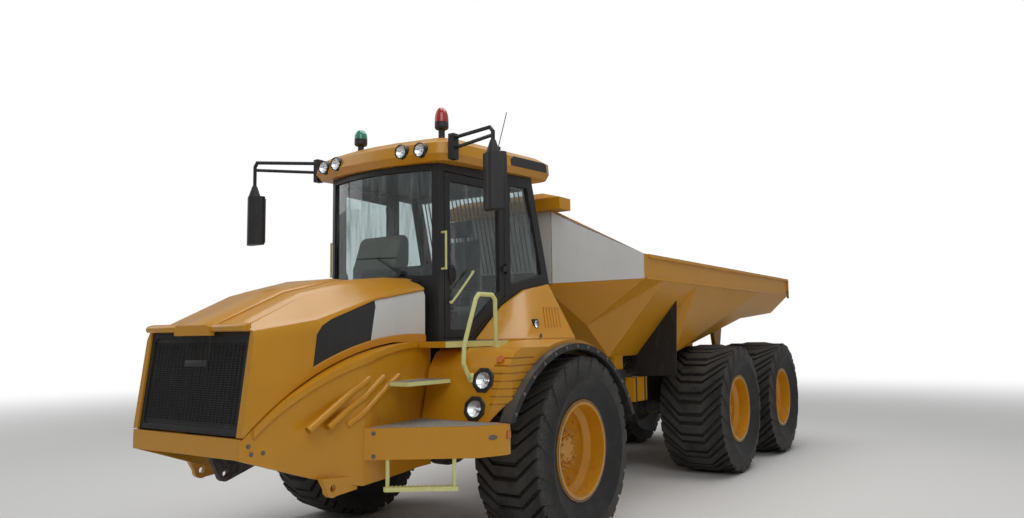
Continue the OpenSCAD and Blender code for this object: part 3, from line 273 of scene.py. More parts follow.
paints = {"yellow": (0.66, 0.298, 0.009), "black": (0.018, 0.018, 0.020), "white": (0.70, 0.71, 0.70),
    "pale": (0.80, 0.82, 0.34), "frame": (0.026, 0.026, 0.028)}
dirt = {"dust": (0.36, 0.31, 0.24), "mud": (0.17, 0.135, 0.10), "bareSteel": (0.20, 0.19, 0.18),
    "rust": (0.16, 0.055, 0.02), "rough": 0.88}
# what a coat has where its material says nothing else
plainCoat = {"shift": 0.10, "edge": 0.006, "wear": 0.35, "wornColor": dirt["bareSteel"], "dust": 0.25,
    "mud": 0.3, "mudTop": 0.9, "grain": 0.05, "grainScale": 260.0, "grainDepth": 0.0008,
    "roughness": 0.35, "uneven": 0.08}
shaderLook = {"metallic": "Metallic", "coat": "Coat Weight", "coatRoughness": "Coat Roughness"}


def newMaterial(name):
    material = bpy.data.materials.new(name)
    material.use_nodes = True
    tree = material.node_tree
    return material, tree, tree.nodes["Principled BSDF"]


def coated(tree, shader, color, **look):
    # dirt, worn edges and grain over a base colour
    coat = {**plainCoat, **look}
    tone = groupNode(tree, toneShift, {"Color": color, "Shift": coat["shift"]})["Color"]
    worn = groupNode(tree, edgeWear, {"Width": coat["edge"], "Wear": coat["wear"]})
    dirty = groupNode(tree, grime, {"Dust": coat["dust"], "Mud": coat["mud"], "Mud Top": coat["mudTop"]})
    mixed = blendColor(tree, worn["Mask"], tone, coat["wornColor"])
    mixed = blendColor(tree, dirty["Dust Mask"], mixed, dirt["dust"])
    mixed = blendColor(tree, dirty["Mud Mask"], mixed, dirt["mud"])
    covered = maths(tree, "MAXIMUM", dirty["Dust Mask"], dirty["Mud Mask"])
    fine = groupNode(tree, grain, {"Scale": coat["grainScale"], "Strength": coat["grain"],
        "Distance": coat["grainDepth"], "Normal": worn["Normal"]})
    swing = times(tree, fine["Value"], coat["uneven"])
    clean = maths(tree, "ADD", swing, coat["roughness"] - coat["uneven"] / 2)
    wire(tree, shader, {"Base Color": mixed, "Roughness": blendValue(tree, covered, clean, dirt["rough"]),
        "Normal": fine["Normal"]})
    wire(tree, shader, {label: coat[key] for key, label in shaderLook.items() if key in coat})


def coatMaterial(name, color, **look):
    material, tree, shader = newMaterial(name)
    coated(tree, shader, asColor(color), **look)
    return material


# the painted side panels: above the seam's circle, below a chain of straight edges, black before the split
hoodPanel = {"centre": (-1.137, -0.616), "radius": 2.380, "side": (0.50, 0.51),
    "edge": [(-2.151, 1.40), (-2.101, 1.763), (-2.057, 1.821), (-1.96, 1.869), (-1.53, 2.016),
        (-1.0, 2.105)],
    "split": [(-1.615, 1.62), (-1.535, 2.05)]}


def besideLine(tree, start, end):
    # 1 on the right of a line from start to end, each (y, z)
    along = Vector((0, end[0] - start[0], end[1] - start[1])).normalized()
    inward = Vector((0, along.z, -along.y))
    return groupNode(tree, halfPlane, {"Edge": inward, "Offset": inward.dot(spot(0, *start))})["Mask"]


def panelMasks(tree, panel):
    axes = axesOf(tree, coordsOf(tree)["Object"])
    (y, z), radius = panel["centre"], panel["radius"]
    above = ranged(tree, lineReach(tree, axes, spot(0, y, 0).y, z), radius - 0.001, radius + 0.001)
    whole = times(tree, above, ranged(tree, maths(tree, "ABSOLUTE", axes["X"]), *panel["side"]))
    for start, end in zip(panel["edge"], panel["edge"][1:]):
        whole = times(tree, whole, besideLine(tree, start, end))
    rear = besideLine(tree, *panel["split"])
    return times(tree, whole, maths(tree, "SUBTRACT", 1.0, rear)), times(tree, whole, rear)


def hoodPaint():
    material, tree, shader = newMaterial("hoodYellow")
    black, white = panelMasks(tree, hoodPanel)
    mixed = blendColor(tree, black, paints["yellow"], paints["black"])
    mixed = blendColor(tree, white, mixed, paints["white"])
    coated(tree, shader, mixed, roughness=0.30, dust=0.10, mud=0.1, wear=0.2, coat=0.25, coatRoughness=0.12)
    return material


loadSpace = {"midY": (0.6, 4.3), "midZ": 2.38, "brim": (2.62, 2.86), "stretch": (7.0, 0.8, 3.0),
    "steel": [(0.115, 0.105, 0.10), (0.235, 0.22, 0.205)], "earth": (0.20, 0.165, 0.125), "metallic": 0.6}


def bodyPaint():
    # outside yellow, inside bare steel scoured by stone, with rust and dry earth on its floor
    material, tree, shader = newMaterial("bodyYellow")
    coords = coordsOf(tree)
    place, normal = coords["Object"], coords["Normal"]
    axes = axesOf(tree, place)
    low, high = loadSpace["midY"]
    lengthwise = result(tree, "ShaderNodeClamp", {0: axes["Y"], 1: low, 2: high})
    middle = result(tree, "ShaderNodeCombineXYZ", {1: lengthwise, 2: loadSpace["midZ"]})
    inward = vectorMaths(tree, "SUBTRACT", middle, place)
    inside = ranged(tree, vectorMaths(tree, "DOT_PRODUCT", normal, inward), 0.02, 0.06)
    scoured = noise(tree, stretched(tree, place, loadSpace["stretch"]), 2.2, 8.0, 0.65)
    patches = noise(tree, place, 3.5, 7.0, 0.65)
    steel = blendColor(tree, ranged(tree, scoured, 0.35, 0.7), *loadSpace["steel"])
    steel = blendColor(tree, ranged(tree, patches, 0.50, 0.68), steel, dirt["rust"])
    brim = ranged(tree, maths(tree, "ADD", axes["Z"], times(tree, scoured, 0.7)), *loadSpace["brim"])
    steel = blendColor(tree, brim, steel, paints["yellow"])
    earth = times(tree, times(tree, ranged(tree, patches, 0.34, 0.56), 0.75),
        ranged(tree, axesOf(tree, normal)["Z"], 0.7, 0.98))
    steel = blendColor(tree, earth, steel, loadSpace["earth"])
    mixed = blendColor(tree, inside, paints["yellow"], steel)
    coated(tree, shader, mixed, roughness=0.36, dust=0.10, mud=0.25, mudTop=1.2, wear=0.6,
        wornColor=dirt["rust"])
    bare = times(tree, inside, ranged(tree, scoured, 0.4, 0.7))
    wire(tree, shader, {"Metallic": times(tree, bare, loadSpace["metallic"])})
    return material


tyreLook = {"clean": (0.020, 0.020, 0.021), "dusty": (0.115, 0.105, 0.092), "groove": (0.775, 0.735),
    "treadSide": (0.60, 0.74), "crown": (0.752, 0.782), "ringsIn": (0.47, 0.475), "ringsOut": (0.535, 0.53),
    "ringWave": 420.0, "roughness": (0.58, 0.92)}


def tyreRubber():
    material, tree, shader = newMaterial("tyreRubber")
    radius = groupNode(tree, wheelRadius, {})["Radius"]
    place = coordsOf(tree)["Object"]
    dusty = noise(tree, place, 5.0, 7.0, 0.7)
    fine = noise(tree, place, 60.0, 4.0, 0.6)
    zones = {name: ranged(tree, radius, *tyreLook[name])
        for name in ("groove", "treadSide", "crown", "ringsIn", "ringsOut")}
    worn = times(tree, zones["treadSide"], ranged(tree, dusty, 0.40, 0.66))
    caked = maths(tree, "MAXIMUM", times(tree, zones["groove"], zones["treadSide"]), times(tree, worn, 0.45))
    caked = times(tree, caked, ranged(tree, fine, 0.30, 0.62))
    wall = times(tree, ranged(tree, dusty, 0.45, 0.75), 0.30)
    crown = times(tree, zones["crown"], ranged(tree, dusty, 0.30, 0.55))
    mask = maths(tree, "MAXIMUM", times(tree, caked, 0.62), wall)
    mask = maths(tree, "MAXIMUM", mask, times(tree, crown, 0.42))
    rings = times(tree, maths(tree, "SINE", times(tree, radius, tyreLook["ringWave"])),
        times(tree, zones["ringsIn"], zones["ringsOut"]))
    height = maths(tree, "ADD", times(tree, rings, 0.5), times(tree, fine, 0.5))
    bevelled = groupNode(tree, edgeWear, {"Width": 0.008, "Wear": 0.0})["Normal"]
    bump = result(tree, "ShaderNodeBump", {"Strength": 0.7, "Distance": 0.003, "Height": height,
        "Normal": bevelled})
    wire(tree, shader, {"Base Color": blendColor(tree, mask, tyreLook["clean"], tyreLook["dusty"]),
        "Roughness": blendValue(tree, mask, *tyreLook["roughness"]), "Normal": bump,
        "Specular IOR Level": 0.35})
    return material


def windowGlass(name, color, roughness=0.015, haze=0.0):
    # clear glass, with streaks of dried rain where it has a haze
    material, tree, shader = newMaterial(name)
    streaks = noise(tree, stretched(tree, coordsOf(tree)["Object"], streakStretch), 2.2, 5.0, 0.6)
    film = times(tree, ranged(tree, streaks, 0.48, 0.74), haze)
    wire(tree, shader, {"Base Color": blendColor(tree, film, color, (0.30, 0.31, 0.31)),
        "Roughness": blendValue(tree, film, roughness, roughness + 0.12), "IOR": 1.45,
        "Transmission Weight": maths(tree, "SUBTRACT", 1.0, times(tree, film, 0.8))})
    return material


def lensMaterial(name, color, roughness=0.12):
    material, tree, shader = newMaterial(name)
    fine = noise(tree, coordsOf(tree)["Object"], 90.0, 3.0)
    dusty = groupNode(tree, grime, {"Dust": 0.3, "Mud": 0.2, "Mud Top": 0.6})["Dust Mask"]
    bevelled = groupNode(tree, edgeWear, {"Width": 0.003, "Wear": 0.0})["Normal"]
    bump = result(tree, "ShaderNodeBump", {"Strength": 0.25, "Distance": 0.001, "Height": fine,
        "Normal": bevelled})
    wire(tree, shader, {"Base Color": blendColor(tree, dusty, color, dirt["dust"]), "Normal": bump,
        "Roughness": blendValue(tree, dusty, roughness, 0.7), "Coat Weight": 0.6, "Coat Roughness": 0.05})
    return material


def rodChrome():
    material, tree, shader = newMaterial("rodChrome")
    film = ranged(tree, noise(tree, coordsOf(tree)["Object"], 14.0, 5.0), 0.45, 0.7)
    wire(tree, shader, {"Base Color": blendColor(tree, film, (0.72, 0.73, 0.75), (0.42, 0.40, 0.37)),
        "Metallic": 1.0, "Roughness": blendValue(tree, film, 0.09, 0.32)})
    return material


# the materials of the record's slots
materials = {
    "yellow_paint": coatMaterial("machineYellow", paints["yellow"], roughness=0.34, dust=0.04, mud=0.40,
        wear=0.4, coat=0.25, coatRoughness=0.12),
    "black_paint": coatMaterial("cabBlack", paints["black"], roughness=0.34, dust=0.12, mud=0.1, wear=0.2),
    "grey_plate": coatMaterial("plateWhite", paints["white"], roughness=0.42, dust=0.2, mud=0.2,
        wornColor=dirt["rust"]),
    "grip_paint": coatMaterial("gripPale", paints["pale"], roughness=0.45, mud=0.5, wear=0.6, edge=0.004),
    "black_plastic": coatMaterial("trimPlastic", (0.021, 0.021, 0.023), roughness=0.48, dust=0.18, mud=0.15,
        wear=0.0, grain=0.25, grainScale=420.0),
    "grille_mesh": coatMaterial("grilleBlack", (0.012, 0.012, 0.013), roughness=0.55, dust=0.2, wear=0.1),
    "seat_cloth": coatMaterial("seatCloth", (0.028, 0.029, 0.033), roughness=0.85, dust=0.15, mud=0.0,
        wear=0.0, grain=0.4, grainScale=600.0),
    "rod_chrome": rodChrome(),
    "tyre_rubber": tyreRubber(),
    "flap_rubber": coatMaterial("flapRubber", (0.016, 0.016, 0.017), roughness=0.62, dust=0.3, mud=0.5,
        wear=0.0, grain=0.3, grainScale=90.0),
    "window_glass": windowGlass("cabGlass", (0.64, 0.71, 0.71), haze=0.26),
    "lamp_lens": lensMaterial("lampLens", (0.78, 0.80, 0.82)),
    "amber_lens": lensMaterial("amberLens", (0.62, 0.15, 0.012)),
    "red_lens": lensMaterial("redLens", (0.62, 0.03, 0.02)),
    "green_lens": lensMaterial("greenLens", (0.02, 0.34, 0.22)),
    "frame_steel": coatMaterial("frameBlack", paints["frame"], roughness=0.5, dust=0.35, mud=0.8, mudTop=1.3,
        wear=0.3, wornColor=dirt["rust"]),
}
# the finishes that only some pieces have
trim = {
    "hoodYellow": hoodPaint(),
    "bodyYellow": bodyPaint(),
    "reflector": coatMaterial("reflectorMetal", (0.80, 0.81, 0.83), roughness=0.14, dust=0.1, mud=0.0,
        wear=0.0, grain=0.02, metallic=1.0),
    "clearLens": windowGlass("clearLens", (0.93, 0.95, 0.96), 0.03),
    "mirrorFace": coatMaterial("mirrorFace", (0.70, 0.74, 0.78), roughness=0.04, dust=0.06, mud=0.0,
        wear=0.0, grain=0.0, metallic=1.0),
    "boltSteel": coatMaterial("boltSteel", (0.17, 0.165, 0.16), roughness=0.42, dust=0.3, wear=0.4,
        metallic=0.7, edge=0.002),
    "deckGrey": coatMaterial("deckGrey", (0.27, 0.265, 0.25), roughness=0.6, dust=0.45, wear=0.5,
        edge=0.002, wornColor=(0.45, 0.44, 0.42)),
    "sealRubber": coatMaterial("sealRubber", (0.011, 0.011, 0.012), roughness=0.6, dust=0.15, mud=0.0,
        wear=0.0),
    "paleTrim": coatMaterial("paleTrim", (0.19, 0.195, 0.165), roughness=0.6, dust=0.1, mud=0.0, wear=0.0),
    "redDome": lensMaterial("redDome", (0.52, 0.02, 0.015), 0.08),
    "greenDome": lensMaterial("greenDome", (0.02, 0.30, 0.20), 0.08),
    "stitching": coatMaterial("stitching", (0.06, 0.06, 0.065), roughness=0.8, dust=0.1, mud=0.0, wear=0.0),
}
special = {"hood": trim["hoodYellow"], "bed_shell": trim["bodyYellow"]}
slotOf = {s["node"]: s["material_slot"] for s in frame["record"]["subparts"]}


def dressNodes():
    for name, node in nodes.items():
        node.data.materials.clear()
        node.data.materials.append(special.get(name) or materials[slotOf[name]])


dressNodes()
print("materials made:", len(materials) + len(trim))


# Forms: small closed shapes, gathered in one mesh for each piece

def emptyForms(count):
    return [bmesh.new() for _ in range(count)]


def rectangle(x0, y0, x1, y1):
    return [(x0, y0), (x1, y0), (x1, y1), (x0, y1)]


def oval(halfU, halfV, count):
    turns = [2 * math.pi * i / count for i in range(count)]
    return [(halfU * math.cos(a), halfV * math.sin(a)) for a in turns]


def across(direction):
    side = direction.cross(upward)
    if side.length < 0.01:
        side = direction.cross(leftward)
    side.normalize()
    return side, side.cross(direction).normalized()


def joinRings(form, rings, loop=False):
    pairs = list(zip(rings, rings[1:]))
    if loop:
        pairs.append((rings[-1], rings[0]))
    for a, b in pairs:
        for i in range(max(len(a), len(b))):
            corners = [a[i % len(a)], a[(i + 1) % len(a)], b[(i + 1) % len(b)], b[i % len(b)]]
            unique = list(dict.fromkeys(corners))
            if len(unique) > 2:
                form.faces.new(unique)


def circleAt(form, middle, u, v, radius, count, start=0.0):
    turns = [start + 2 * math.pi * i / count for i in range(count)]
    return [form.verts.new(middle + (u * math.cos(a) + v * math.sin(a)) * radius) for a in turns]


def turned(form, profile, at, direction, count=32, start=0.0, loop=False):
    # a profile of (radius, distance along) turned about a direction, and closed on the axis or as a loop
    direction = Vector(direction).normalized()
    u, v = across(direction)
    if not loop:
        profile = [(0, profile[0][1]), *profile, (0, profile[-1][1])]
    rings = []
    for radius, along in profile:
        middle = at + direction * along
        tip = not radius
        ring = [form.verts.new(middle)] if tip else circleAt(form, middle, u, v, radius, count, start)
        rings.append(ring)
    joinRings(form, rings, loop)
    return form


def tube(form, path, radius, count=10):
    direction = (path[1] - path[0]).normalized()
    u, v = across(direction)
    rings = [[form.verts.new(path[0])]]
    for i, point in enumerate(path):
        tangent = (path[min(i + 1, len(path) - 1)] - path[max(i - 1, 0)]).normalized()
        turn = direction.rotation_difference(tangent)
        u, v, direction = turn @ u, turn @ v, tangent
        rings.append(circleAt(form, point, u, v, radius, count))
    rings.append([form.verts.new(path[-1])])
    joinRings(form, rings)
    return form


def curved(points, steps=6):
    # a smooth path through the points
    ends = [points[0] * 2 - points[1], *points, points[-1] * 2 - points[-2]]
    path = []
    for a, b, c, d in zip(ends, ends[1:], ends[2:], ends[3:]):
        for i in range(steps):
            t = i / steps
            path.append(0.5 * (2 * b + (c - a) * t + (2 * a - 5 * b + 4 * c - d) * t * t
                + (3 * b - a - 3 * c + d) * t * t * t))
    return path + [points[-1]]


def rounded(form, verts, edge, steps=2):
    if edge > 0:
        edges = list({e for vert in verts for e in vert.link_edges})
        bmesh.ops.bevel(form, geom=edges, offset=edge, segments=steps, affect="EDGES", profile=0.5)
    return form


def cuboid(form, low, high, edge=0.004, steps=2):
    low, high = Vector(low), Vector(high)
    size = Matrix.Diagonal((*(high - low), 1))
    made = bmesh.ops.create_cube(form, size=1.0, matrix=Matrix.Translation((low + high) / 2) @ size)
    return rounded(form, made["verts"], edge, steps)


def block(form, xs, ys, zs, edge=0.004, steps=2):
    # between two x, two y counted from the front axle, and two z
    return cuboid(form, spot(min(xs), min(ys), min(zs)), spot(max(xs), max(ys), max(zs)), edge, steps)


def bothBlocks(form, xs, *rest):
    for sign in sides:
        block(form, [sign * x for x in xs], *rest)


def prism(form, outline, at, u, v, depth, edge=0.0, steps=2):
    # an outline in the plane of u and v, made depth thick along their cross product
    u, v = Vector(u).normalized(), Vector(v).normalized()
    out = u.cross(v).normalized() * depth
    low = [form.verts.new(at + u * p[0] + v * p[1]) for p in outline]
    high = [form.verts.new(vert.co + out) for vert in low]
    form.faces.new(list(reversed(low)))
    form.faces.new(high)
    joinRings(form, [low, high])
    return rounded(form, low + high, edge, steps)


def sideForm(form, outline, x0, x1, edge, steps):
    # an outline of (y, z), from one x to the other
    return prism(form, outline, spot(x0, 0, 0), rearward, upward, x1 - x0, edge, steps)


def closedMesh(name, form):
    bmesh.ops.remove_doubles(form, verts=form.verts, dist=0.00002)
    bmesh.ops.recalc_face_normals(form, faces=form.faces)
    mesh = bpy.data.meshes.new(name)
    form.to_mesh(mesh)
    form.free()
    return mesh


def addObject(name, mesh):
    made = bpy.data.objects.new(name, mesh)
    bpy.context.scene.collection.objects.link(made)
    return made


def finishOf(slot, finish):
    return trim[finish] if finish else materials[slot]


def addPiece(name, mesh, body, slot, finish=None, stands=None):
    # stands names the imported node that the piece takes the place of
    mesh.shade_smooth()
    mesh.set_sharp_from_angle(angle=math.radians(34))
    mesh.materials.clear()
    mesh.materials.append(finishOf(slot, finish))
    piece = addObject(name, mesh)
    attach(piece, body)
    if stands:
        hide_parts(stands)
    return piece


def formPiece(name, form, body, slot, finish=None, stands=None):
    return addPiece(name, closedMesh(name, form), body, slot, finish, stands)


# Geometry node groups for what repeats

def newGrowth(name, inputs):
    group = bpy.data.node_groups.new(name, "GeometryNodeTree")
    for label, kind in inputs:
        group.interface.new_socket(label, in_out="INPUT", socket_type="NodeSocket" + kind)
    group.interface.new_socket("Pieces", in_out="OUTPUT", socket_type="NodeSocketGeometry")
    return group, group.nodes.new("NodeGroupInput").outputs, group.nodes.new("NodeGroupOutput").inputs


def grow(group, kind, inputs=None, **settings):
    return result(group, "GeometryNode" + kind, inputs, **settings)


def aligned(group, inputs, axis, **settings):
    return result(group, "FunctionNodeAlignRotationToVector", inputs, axis=axis, **settings)


def placedForms(group, given, points, **turn):
    shape = put(group, "GeometryNodeObjectInfo", {"Object": given["Form"]}).outputs["Geometry"]
    return grow(group, "InstanceOnPoints", {"Points": points, "Instance": shape, **turn})


def realized(group, geometry, given, made):
    real = grow(group, "RealizeInstances", {"Geometry": geometry})
    group.links.new(grow(group, "SetMaterial", {"Geometry": real, "Material": given["Finish"]}), made[0])
    return group


def sharper(group, limit):
    angle = put(group, "GeometryNodeInputMeshEdgeAngle").outputs["Unsigned Angle"]
    return result(group, "FunctionNodeCompare", {0: angle, 1: limit}, data_type="FLOAT",
        operation="GREATER_THAN")


def makeRepeat():
    # a form on every point of a mesh that says which way it faces and lies
    group, given, made = newGrowth("repeatForm", [("Points", "Geometry"), ("Form", "Object"),
        ("Finish", "Material")])
    facing, along = [grow(group, "InputNamedAttribute", {"Name": name}, data_type="FLOAT_VECTOR")
        for name in ("facing", "along")]
    turn = aligned(group, {"Vector": facing}, "Z")
    turn = aligned(group, {"Rotation": turn, "Vector": along}, "X", pivot_axis="Z")
    return realized(group, placedForms(group, given, given["Points"], Rotation=turn), given, made)


def makeRing():
    group, given, made = newGrowth("ringOfForms", [("Form", "Object"), ("Count", "Int"), ("Radius", "Float"),
        ("Middle", "Vector"), ("Facing", "Vector"), ("Finish", "Material")])
    circle = grow(group, "MeshCircle", {"Vertices": given["Count"], "Radius": given["Radius"]})
    turn = aligned(group, {"Vector": given["Facing"]}, "Z")
    ring = grow(group, "Transform", {"Geometry": circle, "Translation": given["Middle"], "Rotation": turn})
    return realized(group, placedForms(group, given, ring, Rotation=turn), given, made)


def makeRow():
    group, given, made = newGrowth("rowOfForms", [("Form", "Object"), ("Count", "Int"), ("Start", "Vector"),
        ("Step", "Vector"), ("Finish", "Material")])
    line = grow(group, "MeshLine", {"Count": given["Count"], "Start Location": given["Start"],
        "Offset": given["Step"]})
    return realized(group, placedForms(group, given, line), given, made)


def makeEdgeSeal():
    # a round bead along the sharp edges of a pane
    group, given, made = newGrowth("edgeSeal", [("Pane", "Geometry"), ("Radius", "Float"),
        ("Finish", "Material")])
    merged = grow(group, "MergeByDistance", {"Geometry": given["Pane"], "Distance": 0.0001})
    curve = grow(group, "MeshToCurve", {"Mesh": merged, "Selection": sharper(group, 0.7)})
    section = grow(group, "CurvePrimitiveCircle", {"Resolution": 8, "Radius": given["Radius"]})
    seal = grow(group, "CurveToMesh", {"Curve": curve, "Profile Curve": section, "Fill Caps": True})
    return realized(group, seal, given, made)


def makeSoftForm():
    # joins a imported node's loose faces and shades it smooth except over real corners
    group, given, made = newGrowth("softForm", [("Packed", "Geometry"), ("Corner", "Float")])
    merged = grow(group, "MergeByDistance", {"Geometry": given["Packed"], "Distance": 0.0001})
    plain = grow(group, "RemoveAttribute", {"Geometry": merged, "Name": "custom_normal"})
    soft = grow(group, "SetShadeSmooth", {"Geometry": plain, "Shade Smooth": True}, domain="FACE")
    sharp = grow(group, "SetShadeSmooth", {"Geometry": soft, "Selection": sharper(group, given["Corner"]),
        "Shade Smooth": False}, domain="EDGE")
    group.links.new(sharp, made[0])
    return group


repeatForm = makeRepeat()
ringOfForms = makeRing()
rowOfForms = makeRow()
edgeSeal = makeEdgeSeal()
softForm = makeSoftForm()


def setGrowth(modifier, group, values):
    modifier.node_group = group
    for item in group.interface.items_tree:
        if item.item_type == "SOCKET" and item.in_out == "INPUT" and item.name in values:
            modifier[item.identifier] = values[item.name]


def evaluated(holder):
    # the object's final shape as a plain mesh
    mesh = bpy.data.meshes.new_from_object(holder.evaluated_get(bpy.context.evaluated_depsgraph_get()))
    bpy.data.objects.remove(holder)
    return mesh


def grown(name, group, values, mesh=None):
    holder = addObject(name, mesh or bpy.data.meshes.new(name))
    setGrowth(holder.modifiers.new("grow", "NODES"), group, values)
    return evaluated(holder)


def grownPiece(name, group, values, body, slot, finish=None, mesh=None):
    values = {**values, "Finish": finishOf(slot, finish)}
    return addPiece(name, grown(name, group, values, mesh), body, slot, finish)


prototypes = []                       # the forms that groups repeat, removed at the end


def prototype(name, form):
    prototypes.append(addObject(name, closedMesh(name, form)))
    return prototypes[-1]


def pointMesh(name, rows):
    # rows of (place, facing, along)
    mesh = bpy.data.meshes.new(name)
    mesh.from_pydata([tuple(row[0]) for row in rows], [], [])
    for label, index in (("facing", 1), ("along", 2)):
        layer = mesh.attributes.new(label, "FLOAT_VECTOR", "POINT")
        for item, row in zip(layer.data, rows):
            item.vector = row[index]
    return mesh


def gathered(name, meshes):
    form = bmesh.new()
    for mesh in meshes:
        form.from_mesh(mesh)
    return closedMesh(name, form)


cornerAngle = {"bed_shell": 9, "side_covers": 20, "other": 33}


def softenNodes():
    for name, node in nodes.items():
        corner = cornerAngle.get(name, cornerAngle["other"])
        setGrowth(node.modifiers.new("softForm", "NODES"), softForm, {"Corner": math.radians(corner)})


softenNodes()
print("forms and growth groups made")


# Wheels

fasteners = {
    # storeys of each: profile of (radius, height), and number of sides
    "nut": [([(0.025, 0), (0.025, 0.004)], 16), ([(0.0205, 0.003), (0.0205, 0.018), (0.018, 0.021)], 6),
        ([(0.0115, 0.02), (0.0115, 0.033), (0.0095, 0.036)], 10)],
    "bolt": [([(0.0150, 0), (0.0150, 0.0025)], 16),
        ([(0.0115, 0.002), (0.0115, 0.009), (0.0100, 0.0105)], 6)]}
wheelTrim = {
    # kind, count, radius of their ring, and distance of their foot from the truck's middle
    "rings": [("nut", 12, 0.140, 1.290), ("bolt", 16, 0.275, 1.254), ("bolt", 6, 0.084, 1.312)],
    "lockRadius": 0.401, "lockFace": 1.459, "lockWire": 0.006,
    "valveFace": 1.250, "valveRise": 0.318, "valveStem": [(0, 0), (0.05, 0.004), (0.10, 0.022)],
    "valveThick": 0.005}
tyreTrim = {
    "front": {"width": 0.650, "skew": 12, "base": 0.185, "top": 0.150},
    "rear": {"width": 0.850, "skew": 18, "base": 0.150, "top": 0.112}}
treadTrim = {"radius": 0.790, "depth": 0.040, "pitch": 18, "count": 20, "first": 271.26, "middle": 0.76,
    "sunk": 0.006, "inset": 0.045, "drop": 0.018, "straight": 0.32, "edge": 0.004, "tyreFace": 1.530}


def fastener(kind):
    form = bmesh.new()
    for profile, count in fasteners[kind]:
        turned(form, profile, Vector(), upward, count)
    return prototype(kind + "Form", form)


def treadBar(tyre):
    # one swept bar between two lugs: Z points away from the axle
    form = bmesh.new()
    pitch, inset, drop = (treadTrim[k] for k in ("pitch", "inset", "drop"))
    half = tyre["width"] / 2
    straight = half * treadTrim["straight"]
    high = treadTrim["radius"] - treadTrim["sunk"]
    low = high - treadTrim["depth"]
    corners = [(-tyre["base"], low), (-tyre["top"], high), (tyre["top"], high), (tyre["base"], low)]
    rings = []
    for x, lower, skew in ((inset - half, drop, tyre["skew"]), (-straight, 0, 0), (straight, 0, 0),
            (half - inset, drop, tyre["skew"])):
        polar = [(math.radians(share * pitch + skew), reach - lower) for share, reach in corners]
        rings.append([form.verts.new((x, reach * math.sin(a), reach * math.cos(a))) for a, reach in polar])
    joinRings(form, rings)
    form.faces.new(list(reversed(rings[0])))
    form.faces.new(rings[-1])
    rounded(form, [vert for ring in rings for vert in ring], treadTrim["edge"], 1)
    return prototype("treadBar", form)


fastenerForms = {kind: fastener(kind) for kind in fasteners}
treadForms = {kind: treadBar(tyre) for kind, tyre in tyreTrim.items()}


def dressTread(body, sign, y, kind):
    x = sign * (treadTrim["tyreFace"] - tyreTrim[kind]["width"] / 2)
    middle = Vector((x, y, truckFrame["wheelRadius"]))
    rows = []
    for k in range(treadTrim["count"]):
        turn = math.radians(treadTrim["first"] - (k + treadTrim["middle"]) * treadTrim["pitch"])
        rows.append((middle, (0.0, math.cos(turn), math.sin(turn)), (1.0, 0.0, 0.0)))
    grownPiece(body + "Tread", repeatForm, {"Form": treadForms[kind]}, body, "tyre_rubber",
        mesh=pointMesh("treadPoints", rows))


def dressWheel(body, sign, y):
    hub = Vector((0, y, truckFrame["wheelRadius"]))
    way = Vector((sign, 0, 0))
    meshes = [grown("wheelNuts", ringOfForms, {"Form": fastenerForms[kind], "Count": count, "Radius": radius,
        "Middle": tuple(hub + way * face), "Facing": tuple(way), "Finish": materials["yellow_paint"]})
        for kind, count, radius, face in wheelTrim["rings"]]
    addPiece(body + "Nuts", gathered("wheelNuts", meshes), body, "yellow_paint")
    wireRadius = wheelTrim["lockWire"]
    section = [(wheelTrim["lockRadius"] + a, b) for a, b in oval(wireRadius, wireRadius, 8)]
    form = turned(bmesh.new(), section, hub + way * wheelTrim["lockFace"], way, 72, loop=True)
    foot = hub + way * wheelTrim["valveFace"] + upward * wheelTrim["valveRise"]
    stem = [foot + way * out + upward * rise for out, rise in wheelTrim["valveStem"]]
    tube(form, curved(stem), wheelTrim["valveThick"])
    formPiece(body + "LockRing", form, body, "frame_steel", "boltSteel")


for row, rowY in zip(("front", "middle", "rear"), truckFrame["axleY"]):
    for side, sideSign in zip(("left", "right"), sides):
        wheel = row + "_" + side + "_wheel"
        dressWheel(wheel, sideSign, rowY)
        dressTread(wheel, sideSign, rowY, "front" if row == "front" else "rear")
print("wheels dressed")


# Grille

grilleTrim = {"z": (1.214, 1.721), "half": 0.4975, "lean": 0.090 / 0.657, "floorY": -2.569, "topZ": 1.790,
    "pitch": 0.0145, "slatY": (-0.0095, 0.002), "slatHalf": 0.0018, "slatEdge": 0.0006,
    "pins": 23, "pinPitch": 0.0415, "pinRadius": 0.0028, "pinOut": 0.006,
    "plateHalf": (0.12, 0.022), "plateZ": 1.585, "plateOut": 0.008, "plateThick": 0.004, "plateEdge": 0.0015}


def grilleSpot(x, z, out=0.0):
    return spot(x, grilleTrim["floorY"] - out - (grilleTrim["topZ"] - z) * grilleTrim["lean"], z)


